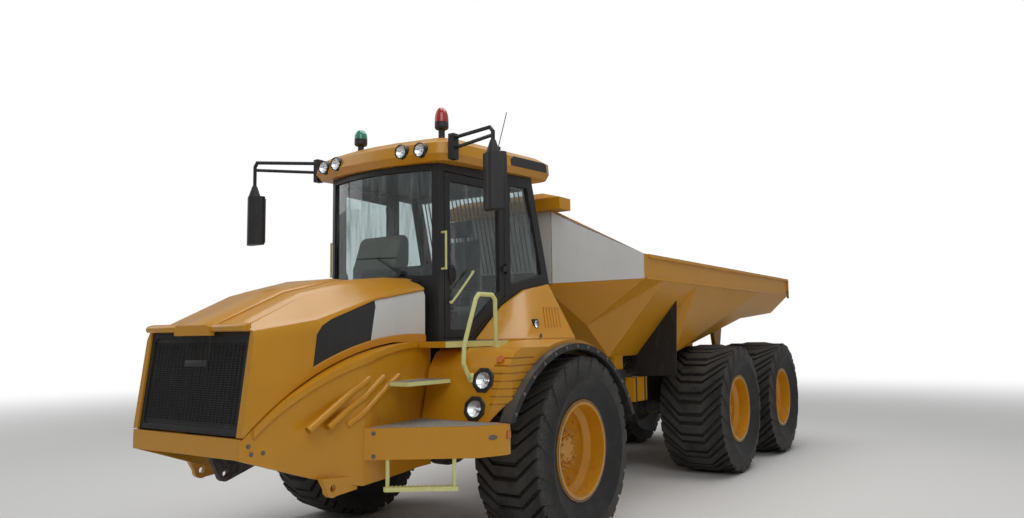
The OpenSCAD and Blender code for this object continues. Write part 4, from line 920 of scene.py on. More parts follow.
def dressGrille():
    (low, high), (front, back) = grilleTrim["z"], grilleTrim["slatY"]
    half, thick, pitch = (grilleTrim[k] for k in ("half", "slatHalf", "pitch"))
    out, pinPitch = grilleTrim["pinOut"], grilleTrim["pinPitch"]
    slat = prototype("slatForm", cuboid(bmesh.new(), (-half, front, -thick), (half, back, thick),
        grilleTrim["slatEdge"], 1))
    rise = grilleSpot(0, high, out) - grilleSpot(0, low, out)
    pin = prototype("pinForm", tube(bmesh.new(), [Vector(), rise], grilleTrim["pinRadius"], 6))
    first = -pinPitch * (grilleTrim["pins"] - 1) / 2
    finish = materials["grille_mesh"]
    foot = grilleSpot(0, low)
    slats = grown("slats", rowOfForms, {"Form": slat, "Count": int((high - low) / pitch) + 1,
        "Finish": finish, "Start": tuple(foot), "Step": tuple(grilleSpot(0, low + pitch) - foot)})
    pins = grown("pins", rowOfForms, {"Form": pin, "Count": grilleTrim["pins"], "Finish": finish,
        "Start": tuple(grilleSpot(first, low, out)), "Step": (pinPitch, 0.0, 0.0)})
    addPiece("grilleMesh", gathered("grilleMesh", [slats, pins]), "hood", "grille_mesh")
    a, b = grilleTrim["plateHalf"]
    at = grilleSpot(0, grilleTrim["plateZ"], grilleTrim["plateOut"])
    plate = prism(bmesh.new(), rectangle(-a, -b, a, b), at, leftward, (0, grilleTrim["lean"], 1),
        grilleTrim["plateThick"], grilleTrim["plateEdge"])
    formPiece("blankPlate", plate, "hood", "black_plastic")


dressGrille()
print("grille dressed")


# Steps and decks

deckTrim = {
    # the left side's outlines, seen from above, and their heights
    "decks": [
        ([(0.780, -1.790), (1.376, -1.350), (1.466, -1.152), (0.692, -1.152), (0.740, -1.455)], 1.1202),
        (rectangle(0.715, -0.872, 0.940, -0.350), 1.7002),
        (rectangle(0.745, -1.555, 0.930, -1.105), 1.4202)],
    "thick": 0.003, "edge": 0.001, "pitch": 0.034, "margin": 0.02, "sunk": 0.0002, "lozengeThick": 0.0018,
    "lozenge": [(-0.013, 0), (-0.006, -0.0035), (0.006, -0.0035), (0.013, 0), (0.006, 0.0035),
        (-0.006, 0.0035)],
    "hanger": ((0.870, -1.700), (1.240, -1.430)), "hangerTop": 0.717, "hangerHalf": 0.0235, "teeth": 17,
    "tooth": [(-0.006, -0.001), (0.006, -0.001), (0.002, 0.0075), (-0.002, 0.0075)], "toothThick": 0.004}


def insideOutline(outline, x, y):
    within = False
    for (x0, y0), (x1, y1) in zip(outline, outline[1:] + outline[:1]):
        if (y0 > y) != (y1 > y) and x < x0 + (y - y0) * (x1 - x0) / (y1 - y0):
            within = not within
    return within


def deckPoints(outline, top, sign):
    # the lozenges' places, turned by turns one way and the other
    pitch, margin = deckTrim["pitch"], (-deckTrim["margin"], deckTrim["margin"])
    (lowX, highX), (lowY, highY) = [(min(values), max(values)) for values in zip(*outline)]
    rows = []
    for i in range(int((highX - lowX) / pitch) + 1):
        for j in range(int((highY - lowY) / pitch) + 1):
            x, y = lowX + pitch * (i + 0.5), lowY + pitch * (j + 0.5)
            if all(insideOutline(outline, x + dx, y + dy) for dx in margin for dy in margin):
                along = (1.0, 1.0, 0.0) if (i + j) % 2 else (1.0, -1.0, 0.0)
                rows.append((spot(sign * x, y, top), (0.0, 0.0, 1.0), along))
    return rows


def dressSteps():
    thick, count = deckTrim["thick"], deckTrim["teeth"]
    lozenge = prototype("lozengeForm", prism(bmesh.new(), deckTrim["lozenge"], Vector(), leftward, rearward,
        deckTrim["lozengeThick"]))
    toothThick = deckTrim["toothThick"]
    tooth = prototype("toothForm", prism(bmesh.new(), deckTrim["tooth"], rearward * toothThick / 2,
        leftward, upward, toothThick))
    plates, lozenges, teeth = bmesh.new(), [], []
    for sign in sides:
        for outline, top in deckTrim["decks"]:
            prism(plates, [(sign * x, y) for x, y in outline], spot(0, 0, top), leftward, rearward, thick,
                deckTrim["edge"], 1)
            lozenges += deckPoints(outline, top + thick - deckTrim["sunk"], sign)
        a, b = (spot(sign * x, y, deckTrim["hangerTop"]) for x, y in deckTrim["hanger"])
        aside = (b - a).normalized().cross(upward) * deckTrim["hangerHalf"]
        teeth += [(a.lerp(b, i / (count - 1)) + aside * edge, (0.0, 0.0, 1.0), tuple(b - a))
            for edge in (-1, 0, 1) for i in range(count)]
    formPiece("deckPlates", plates, "front_frame", "grey_plate", "deckGrey")
    grownPiece("deckLozenges", repeatForm, {"Form": lozenge}, "front_frame", "grey_plate", "deckGrey",
        pointMesh("deckPoints", lozenges))
    grownPiece("stepTeeth", repeatForm, {"Form": tooth}, "front_frame", "grip_paint",
        mesh=pointMesh("toothPoints", teeth))


dressSteps()
print("steps dressed")


# Hood lip and body rails

rimTrim = {
    "lip": [(-2.584, 1.795), (-2.614, 1.7915), (-2.634, 1.792), (-2.645, 1.803), (-2.646, 1.824),
        (-2.632, 1.837), (-2.584, 1.848)],
    "lipX": [(-0.536, -0.2005), (0.2005, 0.536)], "lipEdge": 0.006,
    "rail": ((1.2985, 1.3185), (1.690, 7.055), (2.296, 2.318), 0.005)}


def dressRims():
    lip, rails = emptyForms(2)
    for x0, x1 in rimTrim["lipX"]:
        sideForm(lip, rimTrim["lip"], x0, x1, rimTrim["lipEdge"], 3)
    formPiece("hoodLip", lip, "hood", "yellow_paint", "hoodYellow")
    bothBlocks(rails, *rimTrim["rail"])
    formPiece("railLedges", rails, "dump_body", "yellow_paint")


dressRims()


# Shell ribs and the ledge under the hood's edge

shellTrim = {
    # y and half width of the hood's side and of the shell's face, seen from above
    "hood": [(-2.70, 0.585), (-2.60, 0.585), (-2.085, 0.603), (-1.65, 0.617), (-1.00, 0.625)],
    "shell": [(-2.69, 0.571), (-2.45, 0.600), (-2.00, 0.700), (-1.82, 0.760), (-1.45, 0.720), (-1.15, 0.670),
        (-1.00, 0.670)],
    "seam": {"centre": (-1.137, -0.616), "radius": 2.316, "thick": 0.014, "under": 0.05, "into": 0.03,
        "y": (-2.60, -1.01), "steps": 40},
    # front and rear y of each rib, their heights, and the half widths at their ends
    "ribs": [(-2.277, -1.760), (-2.107, -1.600), (-1.937, -1.440)], "ribZ": (1.150, 1.460),
    "ribX": (0.720, 0.735), "ribRadius": 0.0246, "sunk": 0.005, "ribSteps": 12}


def widthAt(table, y):
    for (y0, w0), (y1, w1) in zip(table, table[1:]):
        if y <= y1:
            return between(w0, w1, (y - y0) / (y1 - y0))
    return table[-1][1]


def ledgeRing(form, sign, y):
    seam = shellTrim["seam"]
    inner = widthAt(shellTrim["hood"], y) - seam["under"]
    outer = widthAt(shellTrim["shell"], y) - seam["into"]
    top, foot = [seam["centre"][1] + math.sqrt(radius ** 2 - (y - seam["centre"][0]) ** 2)
        for radius in (seam["radius"], seam["radius"] - seam["thick"])]
    corners = [(inner, top), (outer, top), (outer, foot), (inner, foot)]
    return [form.verts.new(spot(sign * x, y, z)) for x, z in corners]


def ribPath(sign, front, rear):
    path = []
    for i in range(shellTrim["ribSteps"] + 1):
        t = i / shellTrim["ribSteps"]
        y = between(front, rear, t)
        x = max(between(*shellTrim["ribX"], t), widthAt(shellTrim["shell"], y) - shellTrim["sunk"])
        path.append(spot(sign * x, y, between(*shellTrim["ribZ"], t)))
    return path


def dressShell():
    ledges, ribs = emptyForms(2)
    seam = shellTrim["seam"]
    for sign in sides:
        rings = [ledgeRing(ledges, sign, between(*seam["y"], i / seam["steps"]))
            for i in range(seam["steps"] + 1)]
        for end in (rings[0], rings[-1]):
            ledges.faces.new(end)
        joinRings(ledges, rings)
        for front, rear in shellTrim["ribs"]:
            tube(ribs, ribPath(sign, front, rear), shellTrim["ribRadius"], 16)
    formPiece("hoodLedges", ledges, "front_frame", "yellow_paint")
    formPiece("shellRibs", ribs, "front_frame", "yellow_paint")


dressShell()
print("shell dressed")


# Bolts

archBolts = {"x": 1.4995, "centre": (-0.130, 0.510), "radius": 1.135, "first": 36, "step": 9, "count": 13}
# the left side's places and the way they face
boltRows = {
    "front_frame": [
        ([(0.5775, -2.625, 1.085), (0.5795, -2.604, 1.034), (0.5895, -2.523, 1.034)], (0.993, -0.12)),
        ([(1.010, 0.060, 1.70), (1.010, 0.600, 1.68), (1.010, 0.600, 1.46)], (1, 0)),
        ([(0.815, -1.7805, 1.085), (0.815, -1.7805, 0.930)], (0.593, -0.805))],
    "rear_frame": [
        ([(0.480, 2.05 + 0.3 * i, 1.19) for i in range(3)]
            + [(0.480, 3.2 + 0.45 * i, 1.19) for i in range(7)], (1, 0)),
        ([(0.610, 4.55 + 0.22 * i, 0.955) for i in range(5)], (1, 0))]}


def archRow():
    turns = [math.radians(archBolts["first"] + archBolts["step"] * i) for i in range(archBolts["count"])]
    (y, z), radius = archBolts["centre"], archBolts["radius"]
    return [(archBolts["x"], y + radius * math.cos(a), z + radius * math.sin(a)) for a in turns]


def dressBolts():
    boltRows["front_frame"].append((archRow(), (1, 0)))
    for body, groups in boltRows.items():
        rows = [(spot(sign * x, y, z), (float(sign * out), float(back), 0.0), (0.0, 0.3, 1.0))
            for places, (out, back) in groups for sign in sides for x, y, z in places]
        grownPiece(body + "Bolts", repeatForm, {"Form": fastenerForms["bolt"]}, body, "frame_steel",
            "boltSteel", pointMesh("boltPoints", rows))


dressBolts()
print("bolts set")


# Lamps and beacons

podTilt = math.atan2(90, 380)
lampTrim = {
    # place, tilt, radius, and reach to the front and to the back
    "rows": [((1.180, -1.1087, 1.210), podTilt, 0.072, 0.016, 0.055),
        ((1.225, -1.0601, 1.415), podTilt, 0.072, 0.016, 0.055),
        ((0.380, -0.960, 3.255), 0.0, 0.060, 0.075, 0.0), ((0.560, -0.935, 3.250), 0.0, 0.060, 0.075, 0.0)],
    # profiles of (share of the radius, distance from the front)
    "shell": [(0.99, -0.004), (0.965, 0.0), (0.90, -0.001), (0.90, -0.014), (0.5, -0.040), (0, -0.048)],
    "bowl": [(0, -0.047), (0.5, -0.039), (0.88, -0.013), (0.86, -0.012), (0.48, -0.037), (0, -0.045)],
    "lens": [(0.895, -0.010), (0.895, -0.007), (0.6, -0.0035), (0, -0.002)], "lensBack": -0.008,
    # plain profiles of (radius, distance)
    "bulb": [(0.012, -0.046), (0.013, -0.030), (0.008, -0.022), (0, -0.021)],
    "bezel": [(0.0722, 0.0004), (0.0975, 0.0004), (0.0975, 0.009), (0.092, 0.012), (0.078, 0.012),
        (0.0722, 0.008)],
    "side": (0.850, 0.094, 1.840),
    "sideShell": [(0.041, 0.001), (0.041, 0.118), (0.036, 0.120), (0.035, 0.112), (0, 0.110)],
    "sideLens": [(0.0345, 0.113), (0.0345, 0.121), (0.028, 0.127), (0.012, 0.1298), (0, 0.130)]}


def lampProfile(name, radius, front):
    return [(radius * share, front + along) for share, along in lampTrim[name]]


def dressLamps():
    bodies, bowls, lenses, bezels = emptyForms(4)
    for (x, y, z), tilt, radius, front, back in lampTrim["rows"]:
        way = Vector((0, -math.cos(tilt), math.sin(tilt)))
        for at in (spot(x, y, z), spot(-x, y, z)):
            # a bowl that is open in front, with a rolled rim
            foot = [(radius * 0.72, 0.001 - back), (radius * 0.99, 0.012 - back)]
            turned(bodies, foot + lampProfile("shell", radius, front), at, way, 40)
            turned(bowls, lampProfile("bowl", radius, front), at, way, 36)
            turned(bowls, [(r, front + along) for r, along in lampTrim["bulb"]], at, way, 14)
            middle = [(0, front + lampTrim["lensBack"])]
            turned(lenses, middle + lampProfile("lens", radius, front), at, way, 40)
            if tilt:
                turned(bezels, lampTrim["bezel"], at, way, 8, math.pi / 8, True)
    x, y, z = lampTrim["side"]
    for sign in sides:
        turned(bodies, lampTrim["sideShell"], spot(sign * x, y, z), (sign, 0, 0), 28)
        turned(lenses, lampTrim["sideLens"], spot(sign * x, y, z), (sign, 0, 0), 28)
    formPiece("lampBodies", bodies, "front_frame", "black_plastic", stands="lamps")
    formPiece("lampBowls", bowls, "front_frame", "rod_chrome", "reflector", "lamps")
    formPiece("lampLenses", lenses, "front_frame", "lamp_lens", "clearLens", "lamps")
    formPiece("lampBezels", bezels, "front_frame", "black_plastic", stands="lamp_bezels")


beaconTrim = {
    # place, height of the stem, height of the dome's top, finish and slot
    "beacon_red": ((0.500, -0.640, 3.400), 0.100, 0.300, "redDome", "red_lens"),
    "beacon_green": ((-0.500, -0.600, 3.400), 0.110, 0.266, "greenDome", "green_lens")}
cupProfile = [(0.050, 0.004), (0.0595, 0.016), (0.0595, 0.060), (0.055, 0.064)]   # above the stem
domeTrim = {"stem": 0.028, "rise": 0.058, "foot": 0.006, "neck": 0.052, "radius": 0.0592, "steps": 14}


def dressBeacons():
    steps = domeTrim["steps"]
    for node, (place, stem, top, dome, slot) in beaconTrim.items():
        at = spot(*place)
        cup = [(domeTrim["stem"], 0), (domeTrim["stem"], stem)] + [(r, stem + z) for r, z in cupProfile]
        formPiece(node + "Cup", turned(bmesh.new(), cup, at, upward, 36), "front_frame", "black_plastic",
            stands=node)
        foot = stem + domeTrim["rise"]
        egg = [(domeTrim["radius"] * (1 - t ** 2.6) ** 0.55, between(foot + domeTrim["foot"], top, t))
            for t in (i / steps for i in range(steps))]
        form = turned(bmesh.new(), [(domeTrim["neck"], foot)] + egg + [(0, top)], at, upward, 40)
        formPiece(node + "Dome", form, "front_frame", slot, dome, node)


tailTrim = {"box": ((0.381, 0.479), (6.6005, 6.620), (1.131, 1.209), 0.006), "x": 0.400, "pitch": 0.030,
    "lensY": 6.619, "z": 1.170, "lens": [(0.0125, 0), (0.0125, 0.005), (0.009, 0.009), (0, 0.0105)]}


def dressTailLamps():
    boxes, lenses = emptyForms(2)
    bothBlocks(boxes, *tailTrim["box"])
    for sign in sides:
        for i in range(3):
            at = spot(sign * (tailTrim["x"] + tailTrim["pitch"] * i), tailTrim["lensY"], tailTrim["z"])
            turned(lenses, tailTrim["lens"], at, rearward, 20)
    formPiece("tailLampBoxes", boxes, "rear_frame", "black_plastic", stands="tail_lamps")
    formPiece("tailLampLenses", lenses, "rear_frame", "red_lens", stands="tail_lamps")


dressLamps()
dressBeacons()
dressTailLamps()
print("lamps dressed")


# Windows, doors and mirrors

sealRadius = 0.006


def dressSeals():
    for pane, body in (("cab_glass", "front_frame"), ("left_door_glass", "left_door"),
            ("right_door_glass", "right_door")):
        grownPiece(pane + "Seal", edgeSeal, {"Radius": sealRadius}, body, "black_plastic", "sealRubber",
            nodes[pane].data.copy())


screen = {"centre": 0.5835, "radius": 1.5435}   # the windscreen's circle, seen from above
wiperTrim = {"startX": -0.200, "step": 0.05, "z": 2.410, "fall": 0.0018, "count": 10, "bladeRadius": 0.006,
    "spineOut": 0.009, "spineRadius": 0.003, "pivot": (0.300, 2.262, -0.010), "armRadius": 0.007,
    "armOut": 0.010, "elbow": (0.3, 0.012),
    "hub": [(0.022, 0.022), (0.024, 0.010), (0.024, -0.022)], "clipHalf": (0.03, 0.006), "clipFront": 0.010}


def screenSpot(x, z, inset=0.0):
    return spot(x, screen["centre"] - math.sqrt((screen["radius"] - inset) ** 2 - x * x), z)


def dressWiper():
    form = bmesh.new()
    radius = wiperTrim["bladeRadius"]
    startX, step, z, fall = (wiperTrim[k] for k in ("startX", "step", "z", "fall"))
    blade = [screenSpot(startX + step * i, z - fall * i, radius) for i in range(wiperTrim["count"])]
    tube(form, blade, radius, 6)
    tube(form, [p + rearward * wiperTrim["spineOut"] for p in blade], wiperTrim["spineRadius"], 6)
    pivot = screenSpot(*wiperTrim["pivot"])
    middle = blade[wiperTrim["count"] // 2] - rearward * wiperTrim["armOut"]
    share, out = wiperTrim["elbow"]
    elbow = pivot.lerp(middle, share) - rearward * out
    tube(form, curved([pivot, elbow, middle]), wiperTrim["armRadius"], 8)
    turned(form, wiperTrim["hub"], pivot, -rearward, 20)
    a, b = wiperTrim["clipHalf"]
    cuboid(form, middle - Vector((a, b, b)), middle + Vector((a, wiperTrim["clipFront"], b)), 0.003)
    formPiece("screenWiper", form, "front_frame", "black_plastic")


doorTrim = {"handleAt": (-0.676, 2.250), "slope": 0.130 / 1.505, "pillar": (0.620, -0.830),
    "plateHalf": (0.040, 0.083), "plateIn": 0.021, "plateThick": 0.030, "plateEdge": 0.004,
    "grip": [(0.004, -1.0), (0.85, -0.82), (1.0, 0.0), (0.85, 0.82), (0.004, 1.0)],
    "gripHalf": 0.050, "gripOut": 0.036, "gripRadius": 0.0085,
    "lock": [(0.010, 0), (0.010, 0.012), (0.008, 0.014)], "lockDrop": 0.78, "pullRadius": 0.010,
    "pull": [(0.640, -0.715, 2.020), (0.662, -0.700, 2.030), (0.680, -0.462, 2.265), (0.664, -0.447, 2.278)]}


def dressDoors():
    (y, z), (pillarX, pillarY), slope = (doorTrim[k] for k in ("handleAt", "pillar", "slope"))
    face = pillarX + slope * (y - pillarY)      # the cab widens towards its rear
    for sign, body in zip(sides, ("left_door", "right_door")):
        at = spot(sign * (face - doorTrim["plateIn"]), y, z)
        handle = prism(bmesh.new(), oval(*doorTrim["plateHalf"], 32), at, (slope, sign, 0), upward,
            doorTrim["plateThick"], doorTrim["plateEdge"])
        grip = [spot(sign * (face + out * doorTrim["gripOut"]), y, z + rise * doorTrim["gripHalf"])
            for out, rise in doorTrim["grip"]]
        tube(handle, curved(grip), doorTrim["gripRadius"], 10)
        lockZ = z - doorTrim["plateHalf"][1] * doorTrim["lockDrop"]
        turned(handle, doorTrim["lock"], spot(sign * face, y, lockZ), (sign, 0, 0), 20)
        formPiece(body + "Handle", handle, body, "black_plastic")
        pull = curved([spot(sign * pullX, pullY, pullZ) for pullX, pullY, pullZ in doorTrim["pull"]])
        formPiece(body + "Pull", tube(bmesh.new(), pull, doorTrim["pullRadius"]), body, "grip_paint")


mirrorTrim = {"places": ((1.250, -0.940, 2.700), (-1.250, -1.200, 2.590)), "backY": 0.0535,
    "neckRise": 0.4395, "neck": [(0.054, 0), (0.049, 0.018), (0.022, 0.100)],
    "frame": (-0.090, 0.018, 0.090, 0.422), "face": (-0.080, 0.030, 0.080, 0.410), "faceOut": 0.0015,
    "thick": 0.003, "edge": 0.0012}


def dressMirrors():
    faces, frames, necks = emptyForms(3)
    for x, y, z in mirrorTrim["places"]:
        turned(necks, mirrorTrim["neck"], spot(x, y, z + mirrorTrim["neckRise"]), upward, 28)
        back = y + mirrorTrim["backY"]
        for form, name, out in ((frames, "frame", 0.0), (faces, "face", mirrorTrim["faceOut"])):
            prism(form, rectangle(*mirrorTrim[name]), spot(x, back + out, z), -leftward, upward,
                mirrorTrim["thick"], mirrorTrim["edge"])
    formPiece("mirrorFrames", frames, "front_frame", "black_plastic", "sealRubber")
    formPiece("mirrorNecks", necks, "front_frame", "black_plastic")
    formPiece("mirrorFaces", faces, "front_frame", "rod_chrome", "mirrorFace")


outsideTrim = {
    "panel": [(0.0, 0.001), (0.610, 0.001), (0.610, 0.080), (0.575, 0.093), (0.050, 0.093), (0.0, 0.060)],
    "panelAt": (0.7895, -0.010, 3.262), "panelRise": 0.045, "panelLean": 0.105, "panelThick": 0.004,
    "panelEdge": 0.0015, "flange": [(0.036, 0), (0.036, 0.006), (0.032, 0.008)],
    # each handrail foot's place, and the way it faces
    "feet": [((1.111, -1.0560, 1.430), (0, -math.cos(podTilt), math.sin(podTilt))),
        ((1.111, -0.735, 1.6502), upward)],
    "ovalHalf": (0.036, 0.017), "ovalAt": (1.438, -1.245, 1.035), "ovalEdge": (0.095, 0.210),
    "ovalOut": 0.0002, "ovalThick": 0.003, "ovalRound": 0.001,
    "cap": [(0.020, 0), (0.020, 0.004), (0.014, 0.007)], "capAt": (1.0098, 0.094, 1.735),
    "bars": 25, "barPitch": 0.050, "barStart": (-0.600, 0.570, 2.350), "barRise": (0, -0.196, 0.745),
    "barRadius": 0.006}


def mirroredSpot(sign, place):
    return spot(sign * place[0], *place[1:])


def dressCabOutside():
    panels, flanges, plates = emptyForms(3)
    for sign in sides:
        outline = [(sign * a, b) for a, b in outsideTrim["panel"]]
        prism(panels, outline, mirroredSpot(sign, outsideTrim["panelAt"]),
            (0, sign, sign * outsideTrim["panelRise"]), (-sign * outsideTrim["panelLean"], 0, 1),
            outsideTrim["panelThick"], outsideTrim["panelEdge"], 1)
        for place, way in outsideTrim["feet"]:
            turned(flanges, outsideTrim["flange"], mirroredSpot(sign, place), way, 24)
        a, b = outsideTrim["ovalEdge"]
        away = Vector((sign * b, -a, 0)).normalized() * outsideTrim["ovalOut"]
        prism(plates, oval(*outsideTrim["ovalHalf"], 28), mirroredSpot(sign, outsideTrim["ovalAt"]) + away,
            (a, sign * b, 0), upward, outsideTrim["ovalThick"], outsideTrim["ovalRound"], 1)
        turned(plates, outsideTrim["cap"], mirroredSpot(sign, outsideTrim["capAt"]), (sign, 0, 0), 6)
    formPiece("roofPanels", panels, "front_frame", "black_plastic")
    formPiece("railFlanges", flanges, "front_frame", "grip_paint")
    formPiece("blankOvals", plates, "front_frame", "frame_steel", "boltSteel")
    bar = prototype("guardBar", tube(bmesh.new(), [Vector(), Vector(outsideTrim["barRise"])],
        outsideTrim["barRadius"], 8))
    grownPiece("rearGuardBars", rowOfForms, {"Form": bar, "Count": outsideTrim["bars"],
        "Start": tuple(spot(*outsideTrim["barStart"])), "Step": (outsideTrim["barPitch"], 0.0, 0.0)},
        "front_frame", "black_paint")


dressSeals()
dressWiper()
dressDoors()
dressMirrors()
dressCabOutside()
print("cab dressed")


# Cylinders and tanks

cylinderTrim = {
    # where each barrel starts on the left side and the way it runs
    "tipFoot": (0.280, 3.050, 1.050), "tipWay": (0, 2.2, 0.2), "steerFoot": (0.500, 0.350, 1.020),
    "steerWay": (-0.070, 1.430),
    # glands: distance along the barrel, inner and outer radius, length
    "tipGlands": [(1.900, 0.0465, 0.084, 0.045), (0.300, 0.0760, 0.084, 0.030)],
    "steerGland": (1.000, 0.029, 0.056, 0.030), "glandBack": 0.010, "glandNeck": (0.6, 0.93),
    "pipe": (0.16, 1.82), "pipeRise": 0.085, "pipeRadius": 0.010, "clips": (0.18, 1.80),
    "clipHalf": (0.018, 0.02), "clipZ": (0.062, 0.098)}
tankTrim = {"cap": [(0.052, -0.002), (0.052, 0.018), (0.046, 0.024)], "capAt": (0.620, 2.600, 1.235),
    "straps": (2.56, 2.79), "strapHalf": 0.018, "strapX": (0.484, 0.7535), "strapZ": (0.957, 1.2385),
    "strapEdge": 0.002}


def glandRing(form, foot, way, along, inner, outer, length):
    back, (waist, neck) = -cylinderTrim["glandBack"], cylinderTrim["glandNeck"]
    profile = [(inner, back), (outer, back), (outer, length * waist), (outer * neck, length),
        (inner, length)]
    return turned(form, profile, foot + way * along, way, 32, loop=True)


def dressCylinders():
    way = Vector(cylinderTrim["tipWay"]).normalized()
    rise = upward * cylinderTrim["pipeRise"]
    (halfX, halfY), (lowZ, highZ) = cylinderTrim["clipHalf"], cylinderTrim["clipZ"]
    form = bmesh.new()
    for sign in sides:
        foot = mirroredSpot(sign, cylinderTrim["tipFoot"])
        for gland in cylinderTrim["tipGlands"]:
            glandRing(form, foot, way, *gland)
        tube(form, [foot + way * along + rise for along in cylinderTrim["pipe"]], cylinderTrim["pipeRadius"])
        for clip in (foot + way * along for along in cylinderTrim["clips"]):
            cuboid(form, clip + Vector((-halfX, -halfY, lowZ)), clip + Vector((halfX, halfY, highZ)), 0.004)
    formPiece("tipGlands", form, "tip_barrels", "frame_steel")
    for sign, side in zip(sides, ("left", "right")):
        x, y = cylinderTrim["steerWay"]
        form = glandRing(bmesh.new(), mirroredSpot(sign, cylinderTrim["steerFoot"]),
            Vector((sign * x, y, 0)).normalized(), *cylinderTrim["steerGland"])
        formPiece(side + "SteerGland", form, "steer_barrel_" + side, "frame_steel")


def dressTanks():
    caps = bmesh.new()
    half = tankTrim["strapHalf"]
    for sign in sides:
        turned(caps, tankTrim["cap"], mirroredSpot(sign, tankTrim["capAt"]), upward, 28)
    for y in tankTrim["straps"]:
        bothBlocks(caps, tankTrim["strapX"], (y - half, y + half), tankTrim["strapZ"],
            tankTrim["strapEdge"], 1)
    formPiece("tankCaps", caps, "rear_frame", "frame_steel")


dressCylinders()
dressTanks()
print("cylinders and tanks dressed")


# Cab inside

insideTrim = {
    "dash": [(-0.735, 2.175), (-0.590, 2.175), (-0.560, 2.250), (-0.590, 2.330), (-0.660, 2.350),
        (-0.735, 2.300)],
    "dashX": (-0.360, 0.360), "dashEdge": 0.018,
    # blocks: x, y, z, edge, steps of the edge
    "consoles": [((-0.500, -0.300), (-0.260, 0.260), (1.900, 2.230), 0.020, 3),
        ((-0.480, -0.320), (-0.300, -0.060), (2.220, 2.262), 0.016, 3)],
    "lever": [(0.030, 0), (0.024, 0.030), (0.011, 0.042), (0.011, 0.105), (0.022, 0.120), (0.026, 0.150),
        (0.018, 0.176), (0, 0.180)], "leverAt": (-0.400, -0.180, 2.258), "leverWay": (0, -0.15, 1),
    "cowl": [(-0.700, 2.170), (-0.560, 2.170), (-0.470, 2.400), (-0.470, 2.600), (-0.500, 2.645),
        (-0.560, 2.650), (-0.610, 2.600), (-0.680, 2.350)], "cowlX": (-0.510, -0.010), "cowlEdge": 0.030,
    "pedals": (-0.200, 0.110), "pedalWide": 0.080, "pedal": ((-0.742, -0.560), (1.760, 1.782)),
    "stem": ((-0.600, 1.770), (-0.620, 1.735)), "stemRadius": 0.010}


def dressInside():
    form, cowl, pedals = emptyForms(3)
    sideForm(form, insideTrim["dash"], *insideTrim["dashX"], insideTrim["dashEdge"], 3)
    for row in insideTrim["consoles"]:
        block(form, *row)
    turned(form, insideTrim["lever"], spot(*insideTrim["leverAt"]), insideTrim["leverWay"], 20)
    sideForm(cowl, insideTrim["cowl"], *insideTrim["cowlX"], insideTrim["cowlEdge"], 4)
    for x in insideTrim["pedals"]:
        wide = insideTrim["pedalWide"]
        block(pedals, (x, x + wide), *insideTrim["pedal"])
        tube(pedals, [spot(x + wide / 2, y, z) for y, z in insideTrim["stem"]], insideTrim["stemRadius"], 8)
    formPiece("cabConsoles", form, "front_frame", "black_plastic")
    formPiece("paleCowl", cowl, "front_frame", "grey_plate", "paleTrim")
    formPiece("cabPedals", pedals, "front_frame", "black_plastic", "sealRubber")


dressInside()
print("cab inside dressed")


# Seat

seatTrim = {
    # two corners, how far the edges fall away, and the way each cushion faces
    "cushion": ((-0.245, -0.255, 2.070), (0.245, 0.175, 2.170), 0.34, (0, 0, 1)),
    "back": ((-0.232, 0.192, 2.175), (0.232, 0.300, 2.660), 0.34, (0, -1, 0)),
    "head": ((-0.135, 0.205, 2.690), (0.135, 0.295, 2.850), 0.40, (0, -1, 0))}
padTrim = {"cuts": 13, "pull": 0.035, "corner": 0.10, "voxel": 0.008, "pressure": 4.0, "cap": 0.010,
    "frames": 20, "fill": 0.7}
seamTrim = {"across": (-0.45, 0.45), "reach": 0.86, "steps": 20, "radius": 0.0026, "sunk": 0.0005,
    "above": 0.3}
baseTrim = {"folds": 5, "foldZ": 1.800, "foldHigh": 0.044, "foldHalf": (0.118, 0.130),
    "foldY": (-0.180, 0.020), "foldEdge": 0.012,
    "plates": [((-0.145, 0.145), (-0.240, 0.036), (1.7205, 1.800), 0.010),
        ((-0.200, 0.200), (-0.220, 0.150), (2.015, 2.068), 0.010)],
    "posts": ((0.050, 0.070), (0.235, 0.250), (2.640, 2.700), 0.004)}


def padMesh(name, low, high, crown, facing):
    # a crowned closed form, its sides pulled in between the corners
    form = bmesh.new()
    bmesh.ops.create_cube(form, size=2.0)
    bmesh.ops.subdivide_edges(form, edges=list(form.edges), cuts=padTrim["cuts"], use_grid_fill=True)
    thin = 2 if facing.z else 1
    first, second = [i for i in range(3) if i != thin]
    middle, half = (low + high) / 2, (high - low) / 2
    for vert in form.verts:
        raw = vert.co.copy()
        a, b = raw[first], raw[second]
        vert.co[first] = a * (1 - padTrim["pull"] * (1 - b * b)) * half[first]
        vert.co[second] = b * (1 - padTrim["pull"] * (1 - a * a)) * half[second]
        flat = 1 - crown * (0.5 * (abs(a) ** 4 + abs(b) ** 4)) - padTrim["corner"] * (abs(a) * abs(b)) ** 3
        vert.co[thin] = raw[thin] * flat * half[thin]
        vert.co += middle
    return closedMesh(name, form)


def modified(mesh, kind, **settings):
    holder = addObject("padWork", mesh)
    modifier = holder.modifiers.new("work", kind)
    for key, value in settings.items():
        setattr(modifier, key, value)
    return evaluated(holder)


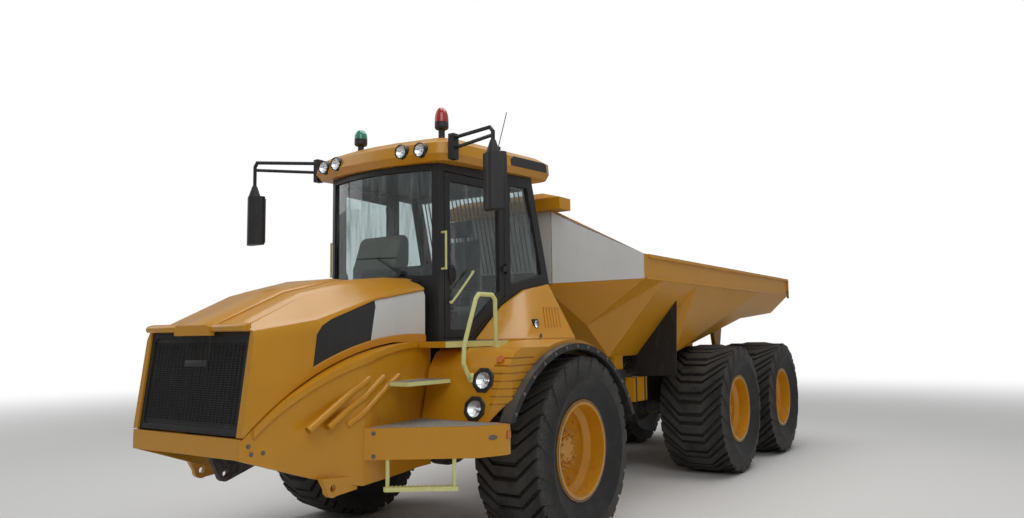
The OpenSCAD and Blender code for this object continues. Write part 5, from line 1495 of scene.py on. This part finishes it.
def inflated(mesh):
    # swells a pad with cloth and keeps every point within the cap of its place
    mesh = modified(mesh, "REMESH", mode="VOXEL", voxel_size=padTrim["voxel"])
    start = [vert.co.copy() for vert in mesh.vertices]
    holder = addObject("padCloth", mesh)
    cloth = holder.modifiers.new("cloth", "CLOTH")
    cloth.settings.use_pressure = True
    cloth.settings.uniform_pressure_force = padTrim["pressure"]
    cloth.settings.effector_weights.gravity = 0.0
    cloth.point_cache.frame_start = 1
    cloth.point_cache.frame_end = padTrim["frames"]
    for count in range(1, padTrim["frames"] + 1):
        bpy.context.scene.frame_set(count)
    swollen = holder.evaluated_get(bpy.context.evaluated_depsgraph_get()).to_mesh()
    moved = [vert.co.copy() for vert in swollen.vertices]
    bpy.data.objects.remove(holder)
    bpy.context.scene.frame_set(1)
    for vert, a, b in zip(mesh.vertices, start, moved):
        away = b - a
        vert.co = a + (away if away.length < padTrim["cap"] else away.normalized() * padTrim["cap"])
    return modified(mesh, "SUBSURF", levels=1)


def seamPath(tree, places, facing):
    # lays places onto a pad's face, a little sunk
    hits = [tree.ray_cast(place + facing * seamTrim["above"], -facing)[0] for place in places]
    return [hit - facing * seamTrim["sunk"] for hit in hits if hit]


def dressSeat():
    seams = bmesh.new()
    for name, (lowAt, highAt, crown, way) in seatTrim.items():
        low, high, facing = spot(*lowAt), spot(*highAt), Vector(way)
        mesh = padMesh("seat" + name.title(), low, high, crown, facing)
        mesh = inflated(mesh)
        piece = addPiece("seat" + name.title(), mesh, "front_frame", "seat_cloth", stands="driver_seat")
        tree = BVHTree.FromPolygons([v.co for v in mesh.vertices], [p.vertices[:] for p in mesh.polygons])
        middle, half = (low + high) / 2, (high - low) / 2
        along = rearward * half.y if facing.z else upward * half.z
        for x in seamTrim["across"] if name != "head" else ():
            reach = seamTrim["reach"]
            places = [middle + leftward * x * half.x + along * between(-reach, reach, i / seamTrim["steps"])
                for i in range(seamTrim["steps"] + 1)]
            tube(seams, seamPath(tree, places, facing), seamTrim["radius"], 8)
    formPiece("seatSeams", seams, "front_frame", "seat_cloth", "stitching", "driver_seat")


def dressSeatBase():
    form = bmesh.new()
    for i in range(baseTrim["folds"]):
        z = baseTrim["foldZ"] + baseTrim["foldHigh"] * i
        half = baseTrim["foldHalf"][i % 2]
        block(form, (-half, half), baseTrim["foldY"], (z, z + baseTrim["foldHigh"]), baseTrim["foldEdge"])
    for row in baseTrim["plates"]:
        block(form, *row)
    bothBlocks(form, *baseTrim["posts"])
    formPiece("seatBase", form, "front_frame", "black_plastic", stands="driver_seat")


dressSeat()
dressSeatBase()
print("seat dressed")


# Floor, lights and camera

studio = {"ambient": 0.165, "shine": 0.36, "floor": (0.80, 0.80, 0.79), "mottle": 0.97, "floorSize": 90.0,
    "fade": (7.0, 24.0), "aim": (0.0, 0.0, 1.4),
    # place, width and power
    "lamps": [((9.0, -13.0, 11.0), 9.0, 540.0), ((-12.0, -6.0, 9.0), 9.0, 240.0),
        ((1.0, 1.0, 13.0), 12.0, 1150.0)]}
white = (1, 1, 1, 1)


def makeWorld():
    world = bpy.data.worlds.new("studioWorld")
    bpy.context.scene.world = world
    world.use_nodes = True
    tree = world.node_tree
    rays = put(tree, "ShaderNodeLightPath").outputs
    seen = maths(tree, "MAXIMUM", rays["Is Camera Ray"], rays["Is Transmission Ray"])
    lit = blendValue(tree, rays["Is Glossy Ray"], studio["ambient"], studio["shine"])
    wire(tree, tree.nodes["Background"], {"Color": white, "Strength": blendValue(tree, seen, lit, 1.0)})


def makeFloor():
    # pale, with the truck's shadow, and fading to white far away
    size = studio["floorSize"]
    mesh = bpy.data.meshes.new("floor")
    mesh.from_pydata([(x, y, 0) for x, y in rectangle(-size, -size, size, size)], [], [(0, 1, 2, 3)])
    material, tree, shader = newMaterial("floorPale")
    place = coordsOf(tree)["Object"]
    fine = noise(tree, place, 40.0, 5.0)
    pale = studio["floor"]
    color = blendColor(tree, fine, pale, [c * studio["mottle"] for c in pale])
    wire(tree, shader, {"Base Color": color, "Roughness": 0.9, "Specular IOR Level": 0.1})
    glow = result(tree, "ShaderNodeEmission", {"Color": white, "Strength": 1.0})
    seen = put(tree, "ShaderNodeLightPath").outputs["Is Camera Ray"]
    far = times(tree, ranged(tree, vectorMaths(tree, "LENGTH", place), *studio["fade"]), seen)
    faded = result(tree, "ShaderNodeMixShader", {0: far, 1: shader.outputs[0], 2: glow})
    tree.links.new(faded, tree.nodes["Material Output"].inputs[0])
    mesh.materials.append(material)
    addObject("floor", mesh)


def makeLamps():
    for place, width, power in studio["lamps"]:
        lamp = bpy.data.lights.new("softLamp", "AREA")
        lamp.size = width
        lamp.energy = power
        holder = addObject("softLamp", lamp)
        holder.location = place
        holder.rotation_euler = (Vector(studio["aim"]) - Vector(place)).to_track_quat("-Z", "Y").to_euler()


photoCamera = {"place": (4.67, -7.975, 1.756), "turn": 34.0, "pitch": 5.42, "roll": -0.75, "focal": 784.0,
    "imageWidth": 1024, "sensor": 36.0}


def makeCamera():
    turn, pitch, roll = (math.radians(photoCamera[k]) for k in ("turn", "pitch", "roll"))
    ahead = Vector((-math.sin(turn) * math.cos(pitch), math.cos(turn) * math.cos(pitch), math.sin(pitch)))
    level = Vector((math.cos(turn), math.sin(turn), 0))
    upright = level.cross(ahead)
    right = level * math.cos(roll) + upright * math.sin(roll)
    top = upright * math.cos(roll) - level * math.sin(roll)
    data = bpy.data.cameras.new("photoCamera")
    data.sensor_width = photoCamera["sensor"]
    data.lens = photoCamera["focal"] / photoCamera["imageWidth"] * data.sensor_width
    camera = addObject("photoCamera", data)
    facing = Matrix((right, top, -ahead)).transposed().to_4x4()
    camera.matrix_world = Matrix.Translation(photoCamera["place"]) @ facing
    bpy.context.scene.camera = camera


makeWorld()
makeFloor()
makeLamps()
makeCamera()
bpy.context.scene.view_settings.view_transform = "Standard"
print("floor, lights and camera made")


def removePrototypes():
    for holder in prototypes:
        bpy.data.objects.remove(holder)


removePrototypes()
